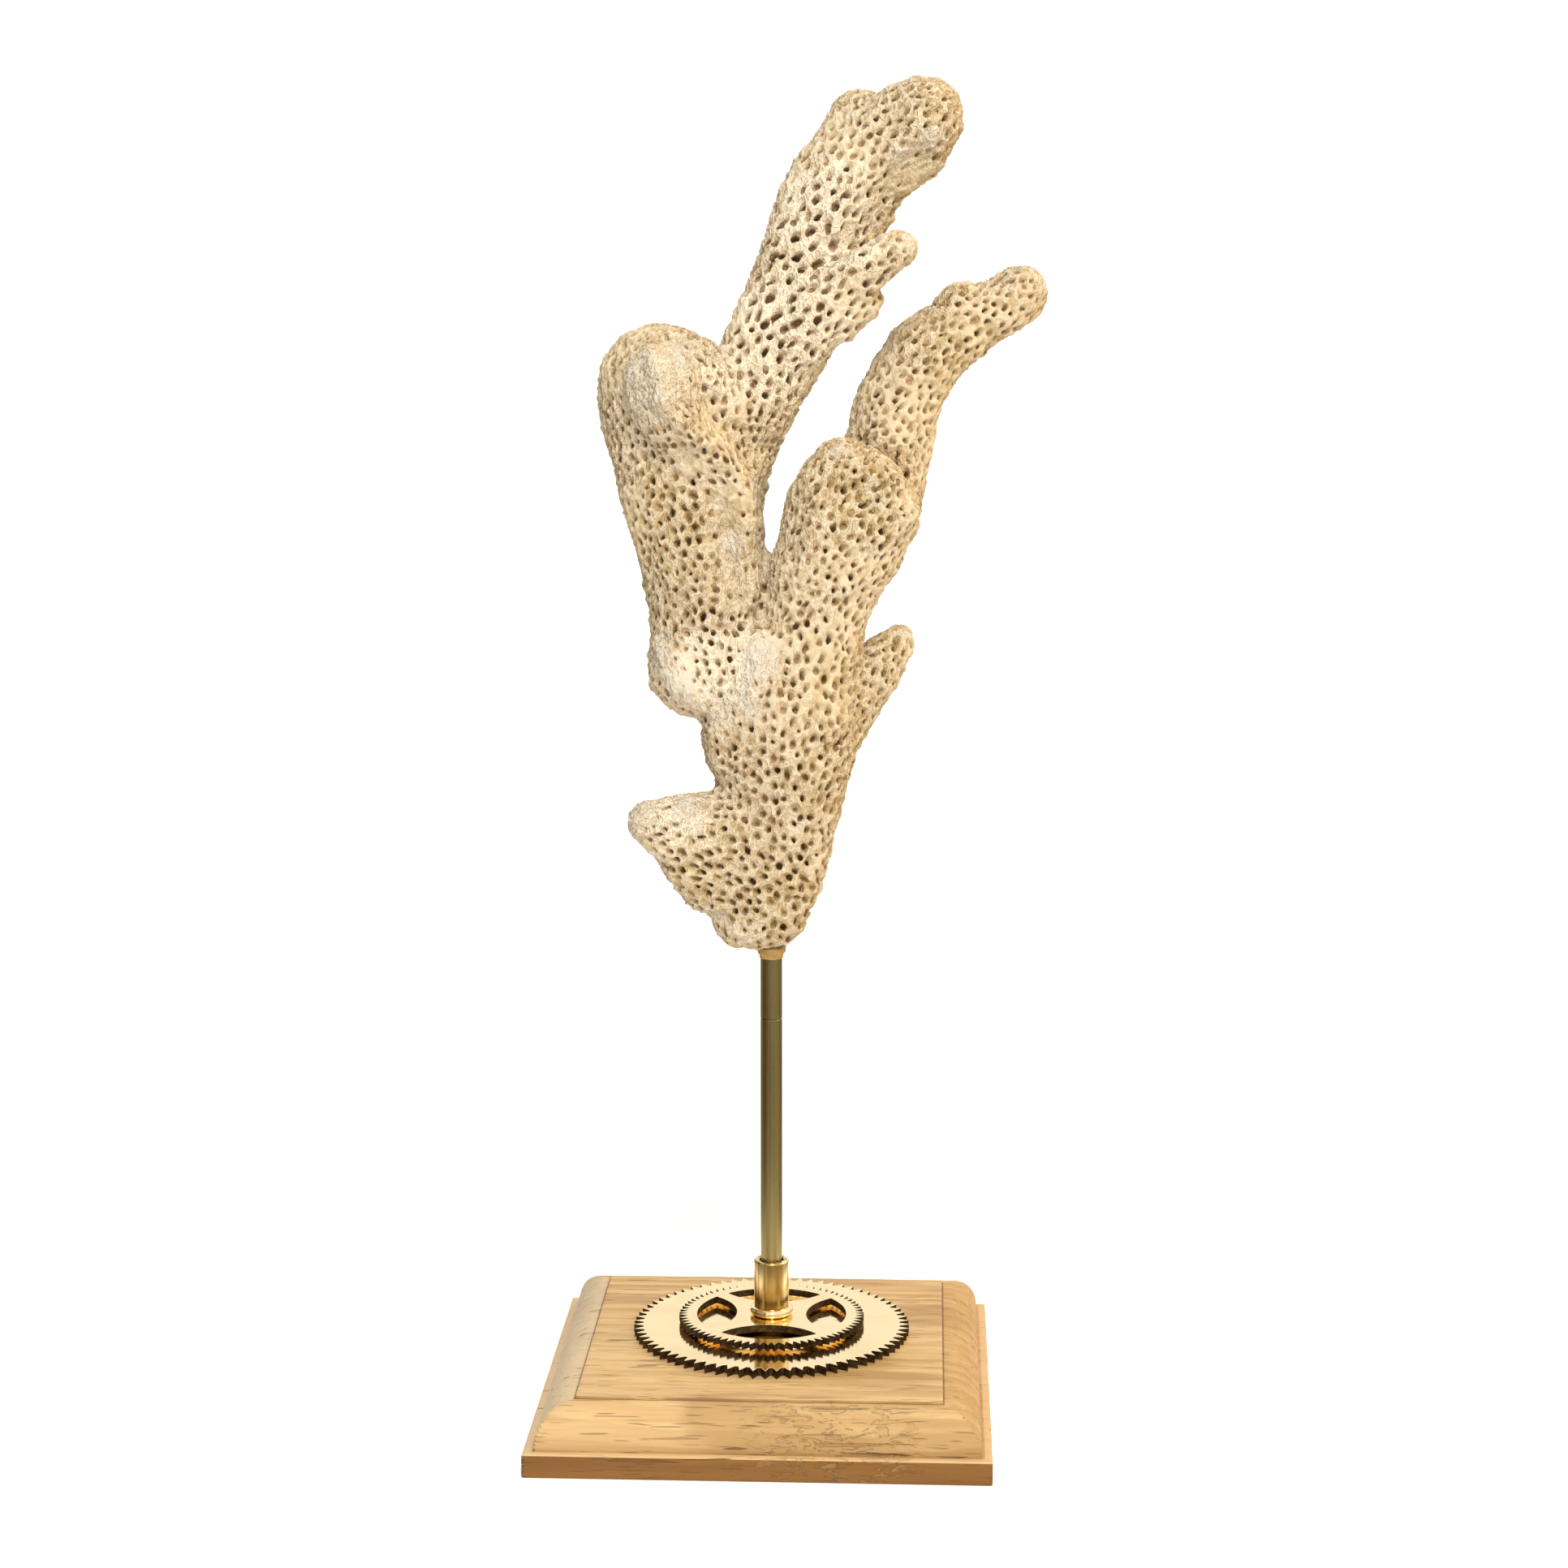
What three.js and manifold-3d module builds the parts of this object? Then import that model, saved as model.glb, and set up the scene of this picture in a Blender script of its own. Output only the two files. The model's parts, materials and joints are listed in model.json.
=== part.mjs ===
// A piece of branching coral on a display stand: a moulded wooden base, two brass clock wheels,
// a collar, a brass rod in two lengths, and the coral, drilled from below and glued on the rod.
// Millimetres, +Z up. The origin is the centre of the underside of the base, +X is to the right
// of someone facing the piece, and +Y points away from them.
import * as THREE from "three";
import { mergeVertices } from "three/addons/utils/BufferGeometryUtils.js";
import Module from "manifold-3d";

// ---- Driving dimensions -------------------------------------------------------------------

// Wooden base: a square board with a square lip, a quarter-round moulding and a raised field.
const BASE_SIDE = 140;
const BASE_HEIGHT = 20.6;
const LIP_HEIGHT = 7.5;
const EASED_EDGE = 0.8;
const MOULDING_FOOT_SIDE = 134;
const FIELD_SIDE = 110.5;
const FIELD_STEP = 1;
const MOULDING_STEPS = 5;

// Brass rod, 1/4 inch, in two lengths butted end to end. It stands a little off the centre.
const ROD_DIAMETER = 6.35;
const ROD_X = 1;
const ROD_Y = 4;
const ROD_FOOT_Z = 6;
const ROD_SEAM_Z = 123;
const ROD_TOP_Z = 182;
const GAP = 0.3;

// Two brass wheels, stacked. The upper one rides on its own hub boss.
const TOOTH_COUNT = 72;
const LARGE_WHEEL = { tip: 43.7, root: 40.8, thickness: 2.8 };
const SMALL_WHEEL = { tip: 29.3, root: 27.2, thickness: 2.2 };
const HUB_BOSS = { radius: 9, height: 0.8 };
const WINDOW = { count: 4, rimRadius: 23.7, innerReach: 11, halfAngle: THREE.MathUtils.degToRad(39) };

// Bead washer and collar around the foot of the rod.
const BEAD = { radius: 6.9, height: 2.8 };
const COLLAR = { radius: 5.55, height: 15.3, chamfer: 0.7, boreRadius: 3.85 };

// Bead of clear glue under the coral: a thin neck on the rod that flares to a short upright edge.
const GLUE = { bottomZ: 142.4, topZ: 144.6, radius: 4.6, neckWall: 0.35, edge: 0.8, flare: 0.3 };

// How finely the round shapes are cut into flats.
const BEAD_STEPS = 4;
const ROUND_SIDES = 20;
const WHEEL_CURVE_STEPS = 7;
const SAW_SIDES = 32;
const HOLLOW_SIDES = 24;
const HOLLOW_RINGS = 16;

// How far a cutting tool runs past the face it opens, and how close two corners count as one.
const OVERSHOOT = 1;
const WELD = 1e-4;

// ---- Coral limbs --------------------------------------------------------------------------
// Each limb is a list of stations along its axis: x, y, z, half-width and half-depth. Half-width
// is measured across the limb in the plane that faces the viewer, half-depth front to back.

const LIMBS = {
  trunk: [
    [-2, 4, 156.5, 13.5, 9.5],
    [0, 4, 165, 15.5, 11],
    [2, 4, 181, 18, 13],
    [4.5, 3, 200, 20.5, 14.5],
    [3.5, 2, 217, 23.5, 16],
    [0, 2, 232, 22, 16],
  ],
  lowerLeftSpur: [
    [-2, 2, 172, 18, 11],
    [-14, 0, 178.5, 19, 11.5],
    [-26, -4, 183.5, 13, 10],
    [-36, -9, 187.5, 6.5, 6.5],
  ],
  rightSpur: [
    [12, 6, 213, 14, 11],
    [23, 8, 223, 11.5, 9],
    [33, 11, 232.5, 8.5, 7.5],
    [39.5, 13, 240, 5.5, 5.5],
  ],
  leftBranch: [
    [-16, 1, 234, 20.5, 14],
    [-19.5, 1, 246, 15.5, 14],
    [-22, 0, 268, 16.5, 15],
    [-27, -1, 294, 19, 15],
    [-32, -3, 321.5, 18.7, 14.5],
  ],
  leftShoulder: [
    [-18, 0, 238, 14, 12],
    [-24, 0, 236, 12.5, 11],
  ],
  frontRidge: [
    [-8, -4, 252, 5, 5],
    [-10, -6, 270, 6, 6],
    [-12, -9, 288, 7, 7],
    [-20, -12, 300, 9, 9],
    [-28, -16, 313, 10.5, 10.5],
    [-31, -17, 322, 10.5, 10],
  ],
  headSlope: [
    [-14, 4, 304, 14, 12],
    [-22.5, -1, 321.5, 13, 13],
  ],
  web: [
    [2, 5, 245, 8, 9],
    [-1, 6, 263, 4.5, 6],
  ],
  longBranch: [
    [-14, 6, 261, 11, 12],
    [-14, 8, 284, 12.5, 12.5],
    [-8, 9, 309, 14, 13],
    [3.5, 10, 333, 15.5, 13],
    [11, 11, 350, 16.7, 12.5],
    [16.5, 13, 365, 16.2, 12],
    [23, 14, 377.5, 17.5, 12],
    [32, 13, 387.5, 14.5, 12],
    [46, 9, 399, 12, 11.5],
  ],
  crownLobe: [
    [23, 15, 384, 14, 10],
    [26.8, 17, 397.3, 9.5, 9],
  ],
  crownUnderside: [
    [34, 12, 383, 11, 9],
    [45.5, 9, 388.5, 8, 8],
  ],
  finger: [
    [8, 5, 334, 11, 10],
    [20, 1, 346, 9, 8.5],
    [31, -3, 355, 6.8, 7],
    [39, -5, 360, 6, 6],
  ],
  fingerNub: [
    [21, 4, 340, 8, 7],
    [29.5, 3, 345, 5.5, 5.5],
  ],
  rightBranch: [
    [9, 3, 230, 19, 14],
    [13, 2, 244, 16, 14],
    [15.5, 1, 258, 16, 14],
    [21.5, 0, 271, 18.5, 14],
    [25.5, -1, 286, 18.5, 12.5],
  ],
  rightRim: [
    [20, 0, 284, 14, 11],
    [24.5, 1, 293, 11.5, 9],
  ],
  rightLobe: [
    [30, 0, 274, 12, 10],
    [37.5, -2, 280, 8, 8],
  ],
  rearBranch: [
    [22, 10, 266, 12, 11],
    [33, 18, 282, 13.5, 11],
    [36.5, 22, 300, 13.5, 11],
    [39, 24, 313, 13.2, 10.5],
    [47, 25, 327, 12, 10],
    [58.5, 26, 335.5, 11, 9.5],
    [69, 26, 341, 8.8, 9],
    [76, 26, 346, 9, 9],
  ],
  rearKnob: [
    [52, 25, 333, 8, 8],
    [58, 25, 343, 6.8, 7],
  ],
};

// Saw planes at the main forks: a point on the limb's axis, the direction across the cut and
// the radius of the disc that is taken out.
const FORKS = {
  lowerLeftSpur: { at: [-17.5, 0, 178], across: [-1, 0, 0.07], radius: 20.5 },
  rightSpur: { at: [31, 10, 229], across: [0.985, 0, 0.17], radius: 13 },
  leftBranch: { at: [-19.5, 2, 262], across: [-0.36, 0, 0.93], radius: 20.5 },
  longBranch: { at: [-5, 9, 320], across: [0.75, 0.1, 0.66], radius: 18.5 },
  finger: { at: [28, 0, 349], across: [0.965, 0, -0.26], radius: 17.5 },
  rightBranch: { at: [14.5, 4, 257], across: [0.63, 0, 0.78], radius: 21.5 },
  rearBranch: { at: [36.5, 22, 300], across: [0.15, 0.1, 1], radius: 16 },
};

// The worn hollow in the front of the right branch's tip: a ball pressed a little way in.
const HOLLOW = { at: [28, -41, 290], radius: 30 };

const CORAL_COLOUR = 0xe3cfa6;
const WOOD_COLOUR = 0xcf9f63;
const BRASS_COLOUR = 0xcfab5a;
const GLUE_COLOUR = 0xd9b96a;

const LIMB_SIDES = 12;
const CAP_RINGS = 3;
const RINGS_PER_STATION = 2;

// ---- Materials ----------------------------------------------------------------------------

const coralMaterial = new THREE.MeshStandardMaterial({ color: CORAL_COLOUR, roughness: 0.9 });
const woodMaterial = new THREE.MeshStandardMaterial({ color: WOOD_COLOUR, roughness: 0.55 });
const brassMaterial = new THREE.MeshStandardMaterial({ color: BRASS_COLOUR, roughness: 0.15, metalness: 1 });
const glueMaterial = new THREE.MeshStandardMaterial({ color: GLUE_COLOUR, roughness: 0.2 });

// ---- Solids -------------------------------------------------------------------------------

const wasm = await Module();
wasm.setup();

function toSolid(geometry) {
  const bare = geometry.clone();
  bare.deleteAttribute("normal");
  bare.deleteAttribute("uv");
  const merged = mergeVertices(bare, WELD);
  return new wasm.Manifold(new wasm.Mesh({
    numProp: 3,
    vertProperties: Float32Array.from(merged.attributes.position.array),
    triVerts: Uint32Array.from(merged.index.array),
  }));
}

function toGeometry(solid) {
  const { vertProperties, triVerts } = solid.getMesh();
  const geometry = new THREE.BufferGeometry();
  geometry.setAttribute("position", new THREE.BufferAttribute(Float32Array.from(vertProperties), 3));
  geometry.setIndex(new THREE.BufferAttribute(Uint32Array.from(triVerts), 1));
  geometry.computeVertexNormals();
  return geometry;
}

function mesh(name, geometry, material) {
  const result = new THREE.Mesh(geometry, material);
  result.name = name;
  return result;
}

// An upright shape turned about Z from a profile of [radius, height] points.
function turned(profile, sides = ROUND_SIDES, start = 0) {
  const points = profile.map(([radius, height]) => new THREE.Vector2(radius, height));
  return new THREE.LatheGeometry(points, sides, start).rotateX(Math.PI / 2);
}

// A turned ring with a bore right through it, standing on the given height.
function ring(boreRadius, outside) {
  const bottom = outside[0][1];
  const top = outside[outside.length - 1][1];
  return turned([[boreRadius, bottom], ...outside, [boreRadius, top], [boreRadius, bottom]]);
}

function upright(radius, bottom, top) {
  const height = top - bottom;
  return new THREE.CylinderGeometry(radius, radius, height, ROUND_SIDES)
    .rotateX(Math.PI / 2)
    .translate(0, 0, bottom + height / 2);
}

// ---- Stand --------------------------------------------------------------------------------

const rodRadius = ROD_DIAMETER / 2;
const rodBore = rodRadius + GAP;

// Half-widths and heights of the moulded edge, from the underside to the middle of the field.
function mouldingProfile() {
  const lip = BASE_SIDE / 2;
  const foot = MOULDING_FOOT_SIDE / 2;
  const field = FIELD_SIDE / 2;
  const crown = BASE_HEIGHT - FIELD_STEP;
  const rise = crown - LIP_HEIGHT;
  const run = foot - field - FIELD_STEP;
  const profile = [
    [0, 0],
    [lip - EASED_EDGE, 0],
    [lip, EASED_EDGE],
    [lip, LIP_HEIGHT - EASED_EDGE],
    [lip - EASED_EDGE, LIP_HEIGHT],
    [foot, LIP_HEIGHT],
  ];
  for (let step = 1; step <= MOULDING_STEPS; step += 1) {
    const angle = (step / MOULDING_STEPS) * (Math.PI / 2);
    profile.push([foot - run * (1 - Math.cos(angle)), LIP_HEIGHT + rise * Math.sin(angle)]);
  }
  profile.push([field, crown], [field, BASE_HEIGHT], [0, BASE_HEIGHT]);
  return profile;
}

// Four-sided lathe: the corners of a square stand at the half-width times the root of two.
function baseBoard() {
  const corners = mouldingProfile().map(([halfWidth, height]) => [halfWidth * Math.SQRT2, height]);
  const board = toSolid(turned(corners, 4, Math.PI / 4));
  const socket = upright(rodBore, ROD_FOOT_Z - GAP, BASE_HEIGHT + OVERSHOOT).translate(ROD_X, ROD_Y, 0);
  return toGeometry(board.subtract(toSolid(socket)));
}

function toothedOutline({ tip, root }) {
  const outline = new THREE.Shape();
  const halfPitch = Math.PI / TOOTH_COUNT;
  for (let index = 0; index < 2 * TOOTH_COUNT; index += 1) {
    const radius = index % 2 === 0 ? tip : root;
    const x = radius * Math.cos(index * halfPitch);
    const y = radius * Math.sin(index * halfPitch);
    if (index === 0) {
      outline.moveTo(x, y);
    } else {
      outline.lineTo(x, y);
    }
  }
  return outline;
}

function roundHole(radius) {
  const hole = new THREE.Path();
  hole.absarc(0, 0, radius, 0, 2 * Math.PI, true);
  return hole;
}

// A window between two arms: the rim's arc outside, and an arc that swells towards the hub.
function wheelWindow(turn) {
  const { rimRadius, innerReach, halfAngle } = WINDOW;
  const cornerX = rimRadius * Math.cos(halfAngle);
  const cornerY = rimRadius * Math.sin(halfAngle);
  const depth = cornerX - innerReach;
  const arcRadius = (depth * depth + cornerY * cornerY) / (2 * depth);
  const centre = innerReach + arcRadius;
  const spread = Math.asin(cornerY / arcRadius);
  const hole = new THREE.Path();
  hole.absarc(0, 0, rimRadius, turn - halfAngle, turn + halfAngle, false);
  const middleX = centre * Math.cos(turn);
  const middleY = centre * Math.sin(turn);
  hole.absarc(middleX, middleY, arcRadius, turn + Math.PI - spread, turn + Math.PI + spread, false);
  return hole;
}

function wheelPlate(wheel, holes) {
  const outline = toothedOutline(wheel);
  outline.holes.push(...holes);
  return new THREE.ExtrudeGeometry(outline, {
    depth: wheel.thickness,
    bevelEnabled: false,
    curveSegments: WHEEL_CURVE_STEPS,
  });
}

function smallWheel() {
  const windows = [];
  for (let index = 0; index < WINDOW.count; index += 1) {
    windows.push(wheelWindow((index * 2 * Math.PI) / WINDOW.count));
  }
  const top = HUB_BOSS.height + SMALL_WHEEL.thickness;
  const plate = toSolid(wheelPlate(SMALL_WHEEL, windows).translate(0, 0, HUB_BOSS.height));
  const boss = toSolid(upright(HUB_BOSS.radius, 0, top - SMALL_WHEEL.thickness / 2));
  const bore = toSolid(upright(rodBore, -OVERSHOOT, top + OVERSHOOT));
  return toGeometry(plate.add(boss).subtract(bore));
}

function beadWasher() {
  const outside = [];
  for (let step = 0; step <= BEAD_STEPS; step += 1) {
    const angle = -Math.PI / 2 + (step / BEAD_STEPS) * Math.PI;
    const bulge = BEAD.radius - BEAD.height / 2 + (BEAD.height / 2) * Math.cos(angle);
    outside.push([bulge, (BEAD.height / 2) * (1 + Math.sin(angle))]);
  }
  return ring(rodBore, outside);
}

function collar() {
  const { radius, height, chamfer, boreRadius } = COLLAR;
  return ring(boreRadius, [[radius, 0], [radius, height - chamfer], [radius - chamfer, height]]);
}

function glueBead() {
  const { bottomZ, topZ, radius, neckWall, edge, flare } = GLUE;
  return ring(rodBore, [[rodBore + neckWall, bottomZ], [radius - flare, topZ - edge], [radius, topZ]]);
}

const largeWheelZ = BASE_HEIGHT;
const smallWheelZ = largeWheelZ + LARGE_WHEEL.thickness;
const beadZ = smallWheelZ + HUB_BOSS.height + SMALL_WHEEL.thickness;
const collarZ = beadZ + BEAD.height;

const rodGroup = new THREE.Group();
rodGroup.position.set(ROD_X, ROD_Y, 0);

function addOnRod(name, geometry, z, material) {
  const piece = mesh(name, geometry, material);
  piece.position.z = z;
  rodGroup.add(piece);
}

addOnRod("large_wheel", wheelPlate(LARGE_WHEEL, [roundHole(rodBore)]), largeWheelZ, brassMaterial);
addOnRod("small_wheel", smallWheel(), smallWheelZ, brassMaterial);
addOnRod("bead_washer", beadWasher(), beadZ, brassMaterial);
addOnRod("collar", collar(), collarZ, brassMaterial);
addOnRod("lower_rod", upright(rodRadius, ROD_FOOT_Z, ROD_SEAM_Z - GAP / 2), 0, brassMaterial);
addOnRod("upper_rod", upright(rodRadius, ROD_SEAM_Z + GAP / 2, ROD_TOP_Z), 0, brassMaterial);
addOnRod("glue_bead", glueBead(), 0, glueMaterial);

// ---- Coral --------------------------------------------------------------------------------

const UP_THE_VIEW = new THREE.Vector3(0, 1, 0);

// A capsule bent along the limb's axis, with an oval section that follows the stations.
function limb(stations) {
  const axis = new THREE.CatmullRomCurve3(stations.map(([x, y, z]) => new THREE.Vector3(x, y, z)));
  const girth = new THREE.CatmullRomCurve3(stations.map(([, , , w, d]) => new THREE.Vector3(w, d, 0)));
  const rings = RINGS_PER_STATION * (stations.length - 1);
  const geometry = new THREE.CapsuleGeometry(1, 2, CAP_RINGS, LIMB_SIDES, rings);
  const position = geometry.attributes.position;
  for (let index = 0; index < position.count; index += 1) {
    const local = new THREE.Vector3().fromBufferAttribute(position, index);
    const along = THREE.MathUtils.clamp(local.y, -1, 1);
    const beyond = local.y - along;
    const t = (along + 1) / 2;
    const size = girth.getPoint(t);
    const forward = axis.getTangent(t);
    const side = new THREE.Vector3().crossVectors(forward, UP_THE_VIEW).normalize();
    const depth = new THREE.Vector3().crossVectors(side, forward);
    const place = axis.getPoint(t)
      .addScaledVector(side, local.x * size.x)
      .addScaledVector(depth, local.z * size.y)
      .addScaledVector(forward, beyond * (size.x + size.y) / 2);
    position.setXYZ(index, place.x, place.y, place.z);
  }
  return toSolid(geometry);
}

// A disc as thin as a saw cut, across one fork.
function sawCut({ at, across, radius }) {
  const facing = new THREE.Vector3(...across).normalize();
  const turn = new THREE.Quaternion().setFromUnitVectors(UP_THE_VIEW, facing);
  const disc = new THREE.CylinderGeometry(radius, radius, GAP, SAW_SIDES).applyQuaternion(turn);
  return toSolid(disc.translate(...at));
}

// The whole growth, drilled for the rod and cut at its forks.
function coralSolids() {
  const grown = Object.values(LIMBS).map(limb).reduce((whole, next) => whole.add(next));
  const drill = upright(rodBore, GLUE.bottomZ, ROD_TOP_Z + GAP).translate(ROD_X, ROD_Y, 0);
  const hollow = new THREE.SphereGeometry(HOLLOW.radius, HOLLOW_SIDES, HOLLOW_RINGS).translate(...HOLLOW.at);
  const drilled = grown.subtract(toSolid(drill)).subtract(toSolid(hollow));
  const cuts = Object.values(FORKS).map(sawCut);
  return cuts.reduce((whole, cut) => whole.subtract(cut), drilled).decompose();
}

// A millimetre cube at a limb's middle tells which piece belongs to which name.
function holds(solid, [x, y, z]) {
  const probe = toSolid(new THREE.BoxGeometry(1, 1, 1).translate(x, y, z));
  return solid.intersect(probe).volume() > 0;
}

const PIECES = {
  coral_trunk: LIMBS.trunk[3],
  coral_lower_left_spur: LIMBS.lowerLeftSpur[2],
  coral_right_spur: LIMBS.rightSpur[2],
  coral_left_branch: LIMBS.leftBranch[3],
  coral_long_branch: LIMBS.longBranch[5],
  coral_finger: LIMBS.finger[2],
  coral_right_branch: LIMBS.rightBranch[3],
  coral_rear_branch: LIMBS.rearBranch[4],
};

const coralGroup = new THREE.Group();
const solids = coralSolids();
for (const [name, middle] of Object.entries(PIECES)) {
  const solid = solids.find((candidate) => holds(candidate, middle));
  coralGroup.add(mesh(name, toGeometry(solid), coralMaterial));
}

const part = new THREE.Group();
part.add(mesh("base_board", baseBoard(), woodMaterial), rodGroup, coralGroup);

export default part;
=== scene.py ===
# %% [markdown]
# # A branching coral on a brass and wood stand
#
# The thing itself is a bleached piece of coral, pitted all over, that a maker has drilled and glued
# on a brass rod. The rod stands in a stack of two clock wheels on a square moulded board.
# The plain solids come from a CAD model. This lesson keeps their places and sizes, and makes each
# piece again with the detail that the eye expects: teeth with broken edges, grain in the wood, and
# more than three thousand pits in the coral.
#
# Everything is in metres, +Z is up, +X is to the right and +Y points away from the viewer.

import itertools
import json
import math

import bmesh
import bpy
import numpy as np
from mathutils import Matrix, Vector
from mathutils.bvhtree import BVHTree
from mathutils.kdtree import KDTree

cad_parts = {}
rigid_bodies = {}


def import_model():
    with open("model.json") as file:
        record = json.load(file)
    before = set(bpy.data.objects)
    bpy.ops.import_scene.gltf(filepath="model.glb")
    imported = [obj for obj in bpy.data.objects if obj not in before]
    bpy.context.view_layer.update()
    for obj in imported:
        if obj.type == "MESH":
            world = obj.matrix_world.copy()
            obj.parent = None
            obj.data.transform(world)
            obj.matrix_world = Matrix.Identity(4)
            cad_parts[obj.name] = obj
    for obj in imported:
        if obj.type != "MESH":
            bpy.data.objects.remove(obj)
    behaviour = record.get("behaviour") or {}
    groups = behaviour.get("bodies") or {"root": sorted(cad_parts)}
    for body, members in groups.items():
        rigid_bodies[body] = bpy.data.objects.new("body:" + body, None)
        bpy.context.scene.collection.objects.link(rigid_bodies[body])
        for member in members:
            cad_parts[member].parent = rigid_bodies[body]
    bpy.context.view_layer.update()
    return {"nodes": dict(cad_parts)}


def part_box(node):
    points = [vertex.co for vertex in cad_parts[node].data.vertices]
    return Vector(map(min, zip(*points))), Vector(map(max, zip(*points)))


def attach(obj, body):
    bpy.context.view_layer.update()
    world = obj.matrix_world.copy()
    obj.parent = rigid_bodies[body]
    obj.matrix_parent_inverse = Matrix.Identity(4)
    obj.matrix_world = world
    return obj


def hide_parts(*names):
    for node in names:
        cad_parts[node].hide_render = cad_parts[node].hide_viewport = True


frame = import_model()
MM = 0.001

# %% [markdown]
# ## The viewpoint
#
# The camera comes first, so that every later step can be looked at through it. It stands a metre
# in front of the stand, a little to the right, and looks slightly down at it.

# %% Camera
VIEWPOINT = (0.04825, -0.96621, 0.37193)
LOOK_DOWN = 0.1779
TURN_LEFT = 0.0446

lens = bpy.data.cameras.new("viewpoint")
lens.sensor_width = 36
lens.lens = 73.46
camera = bpy.data.objects.new("viewpoint", lens)
camera.location = VIEWPOINT
camera.rotation_euler = (math.pi / 2 - LOOK_DOWN, 0, TURN_LEFT)
bpy.context.scene.collection.objects.link(camera)
bpy.context.scene.camera = camera
print("camera at", [round(v, 3) for v in camera.location])

# %% [markdown]
# ## Helpers for making pieces
#
# A finished piece is always an object at the origin whose place is in its mesh, as the CAD nodes are. `new_object`
# turns a bmesh into such an object. `applied` bakes an object's modifiers into its mesh, which leaves nothing live
# on it.


# %% Making and finishing objects
def new_object(name, bm):
    mesh = bpy.data.meshes.new(name)
    bm.to_mesh(mesh)
    bm.free()
    made = bpy.data.objects.new(name, mesh)
    bpy.context.scene.collection.objects.link(made)
    return made


def applied(thing):
    graph = bpy.context.evaluated_depsgraph_get()
    baked = bpy.data.meshes.new_from_object(thing.evaluated_get(graph))
    thing.modifiers.clear()
    thing.data = baked
    return thing


def modify(thing, kind, **settings):
    modifier = thing.modifiers.new(kind.lower(), kind)
    for key, value in settings.items():
        setattr(modifier, key, value)
    return thing


def discard(*things):
    for thing in things:
        bpy.data.objects.remove(thing)


def finish_piece(piece, finish, slot, *nodes, crease=math.radians(40)):
    """Gives a piece its material, soft shading with sharp creases, and its place in the frame."""
    if finish:
        piece.data.materials.clear()
        piece.data.materials.append(finish.material)
    piece.data.shade_smooth()
    piece.data.set_sharp_from_angle(angle=crease)
    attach(piece, "root")
    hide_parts(*nodes)
    piece.data.calc_loop_triangles()
    print(piece.name, len(piece.data.loop_triangles), "triangles")
    return piece


# %% [markdown]
# ## Helpers for materials
#
# A material is a small sum over a surface: grain times colour plus wear. Written as Python
# arithmetic it is easy to read, so `Wire` wraps one socket and turns + - * into Math nodes, and
# `Finish.node` makes every other node.


# %% Material arithmetic
class Wire:
    """One output socket of a finish. Arithmetic on it adds Math nodes."""

    def __init__(self, finish, socket):
        self.finish = finish
        self.socket = socket

    def maths(self, operation, *values):
        return self.finish.node("ShaderNodeMath", {"operation": operation}, dict(enumerate(values)))

    def __add__(self, other):
        return self.maths("ADD", self, other)

    __radd__ = __add__

    def __sub__(self, other):
        return self.maths("SUBTRACT", self, other)

    def __rsub__(self, other):
        return self.maths("SUBTRACT", other, self)

    def __mul__(self, other):
        return self.maths("MULTIPLY", self, other)

    __rmul__ = __mul__

    def ramp(self, low, high):
        """0 below low, 1 above high, and smooth between them."""
        settings = {"interpolation_type": "SMOOTHSTEP", "clamp": True}
        return self.finish.node("ShaderNodeMapRange", settings, {0: self, 1: low, 2: high})


class Finish:
    """A material with one Principled shader, built up by node()."""

    def __init__(self, name):
        self.material = bpy.data.materials.new(name)
        self.material.use_nodes = True
        self.tree = self.material.node_tree
        self.tree.nodes.clear()
        output = self.tree.nodes.new("ShaderNodeOutputMaterial")
        self.shader = self.tree.nodes.new("ShaderNodeBsdfPrincipled")
        self.tree.links.new(self.shader.outputs[0], output.inputs["Surface"])

    def feed(self, socket, value):
        if isinstance(value, Wire):
            self.tree.links.new(value.socket, socket)
        else:
            socket.default_value = value

    def node(self, kind, settings, sockets, output=0):
        made = self.tree.nodes.new(kind)
        for key, value in settings.items():
            setattr(made, key, value)
        for key, value in sockets.items():
            self.feed(made.inputs[key], value)
        return Wire(self, made.outputs[output])

    def surface(self, **values):
        """Feeds the shader: surface(Base_Color=..., Roughness=...)."""
        for key, value in values.items():
            self.feed(self.shader.inputs[key.replace("_", " ")], value)

    def place(self, stretch=(1, 1, 1), shift=(0, 0, 0)):
        """Object coordinates in metres, moved and then stretched."""
        spot = self.node("ShaderNodeTexCoord", {}, {}, "Object")
        moved = self.node("ShaderNodeVectorMath", {"operation": "ADD"}, {0: spot, 1: shift})
        return self.node("ShaderNodeVectorMath", {"operation": "MULTIPLY"}, {0: moved, 1: stretch})

    def noise(self, place, scale, detail=2.0, distortion=0.0):
        sockets = {"Vector": place, "Scale": scale, "Detail": detail, "Distortion": distortion}
        return self.node("ShaderNodeTexNoise", {}, sockets)

    def attribute(self, name):
        return self.node("ShaderNodeAttribute", {"attribute_name": name}, {}, "Fac")

    def axis(self, place, name):
        return self.node("ShaderNodeSeparateXYZ", {}, {0: place}, name)

    def mix(self, share, first, second, blend="MIX"):
        """A colour between two colours; share 0 gives the first and 1 the second."""
        settings = {"data_type": "RGBA", "blend_type": blend, "clamp_factor": True}
        return self.node("ShaderNodeMix", settings, {0: share, 6: first, 7: second}, 2)

    def bump(self, height, distance, strength=1.0, under=None):
        sockets = {"Height": height, "Distance": distance, "Strength": strength}
        if under:
            sockets["Normal"] = under
        return self.node("ShaderNodeBump", {}, sockets)


def rgb(red, green, blue):
    return (red, green, blue, 1.0)
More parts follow.
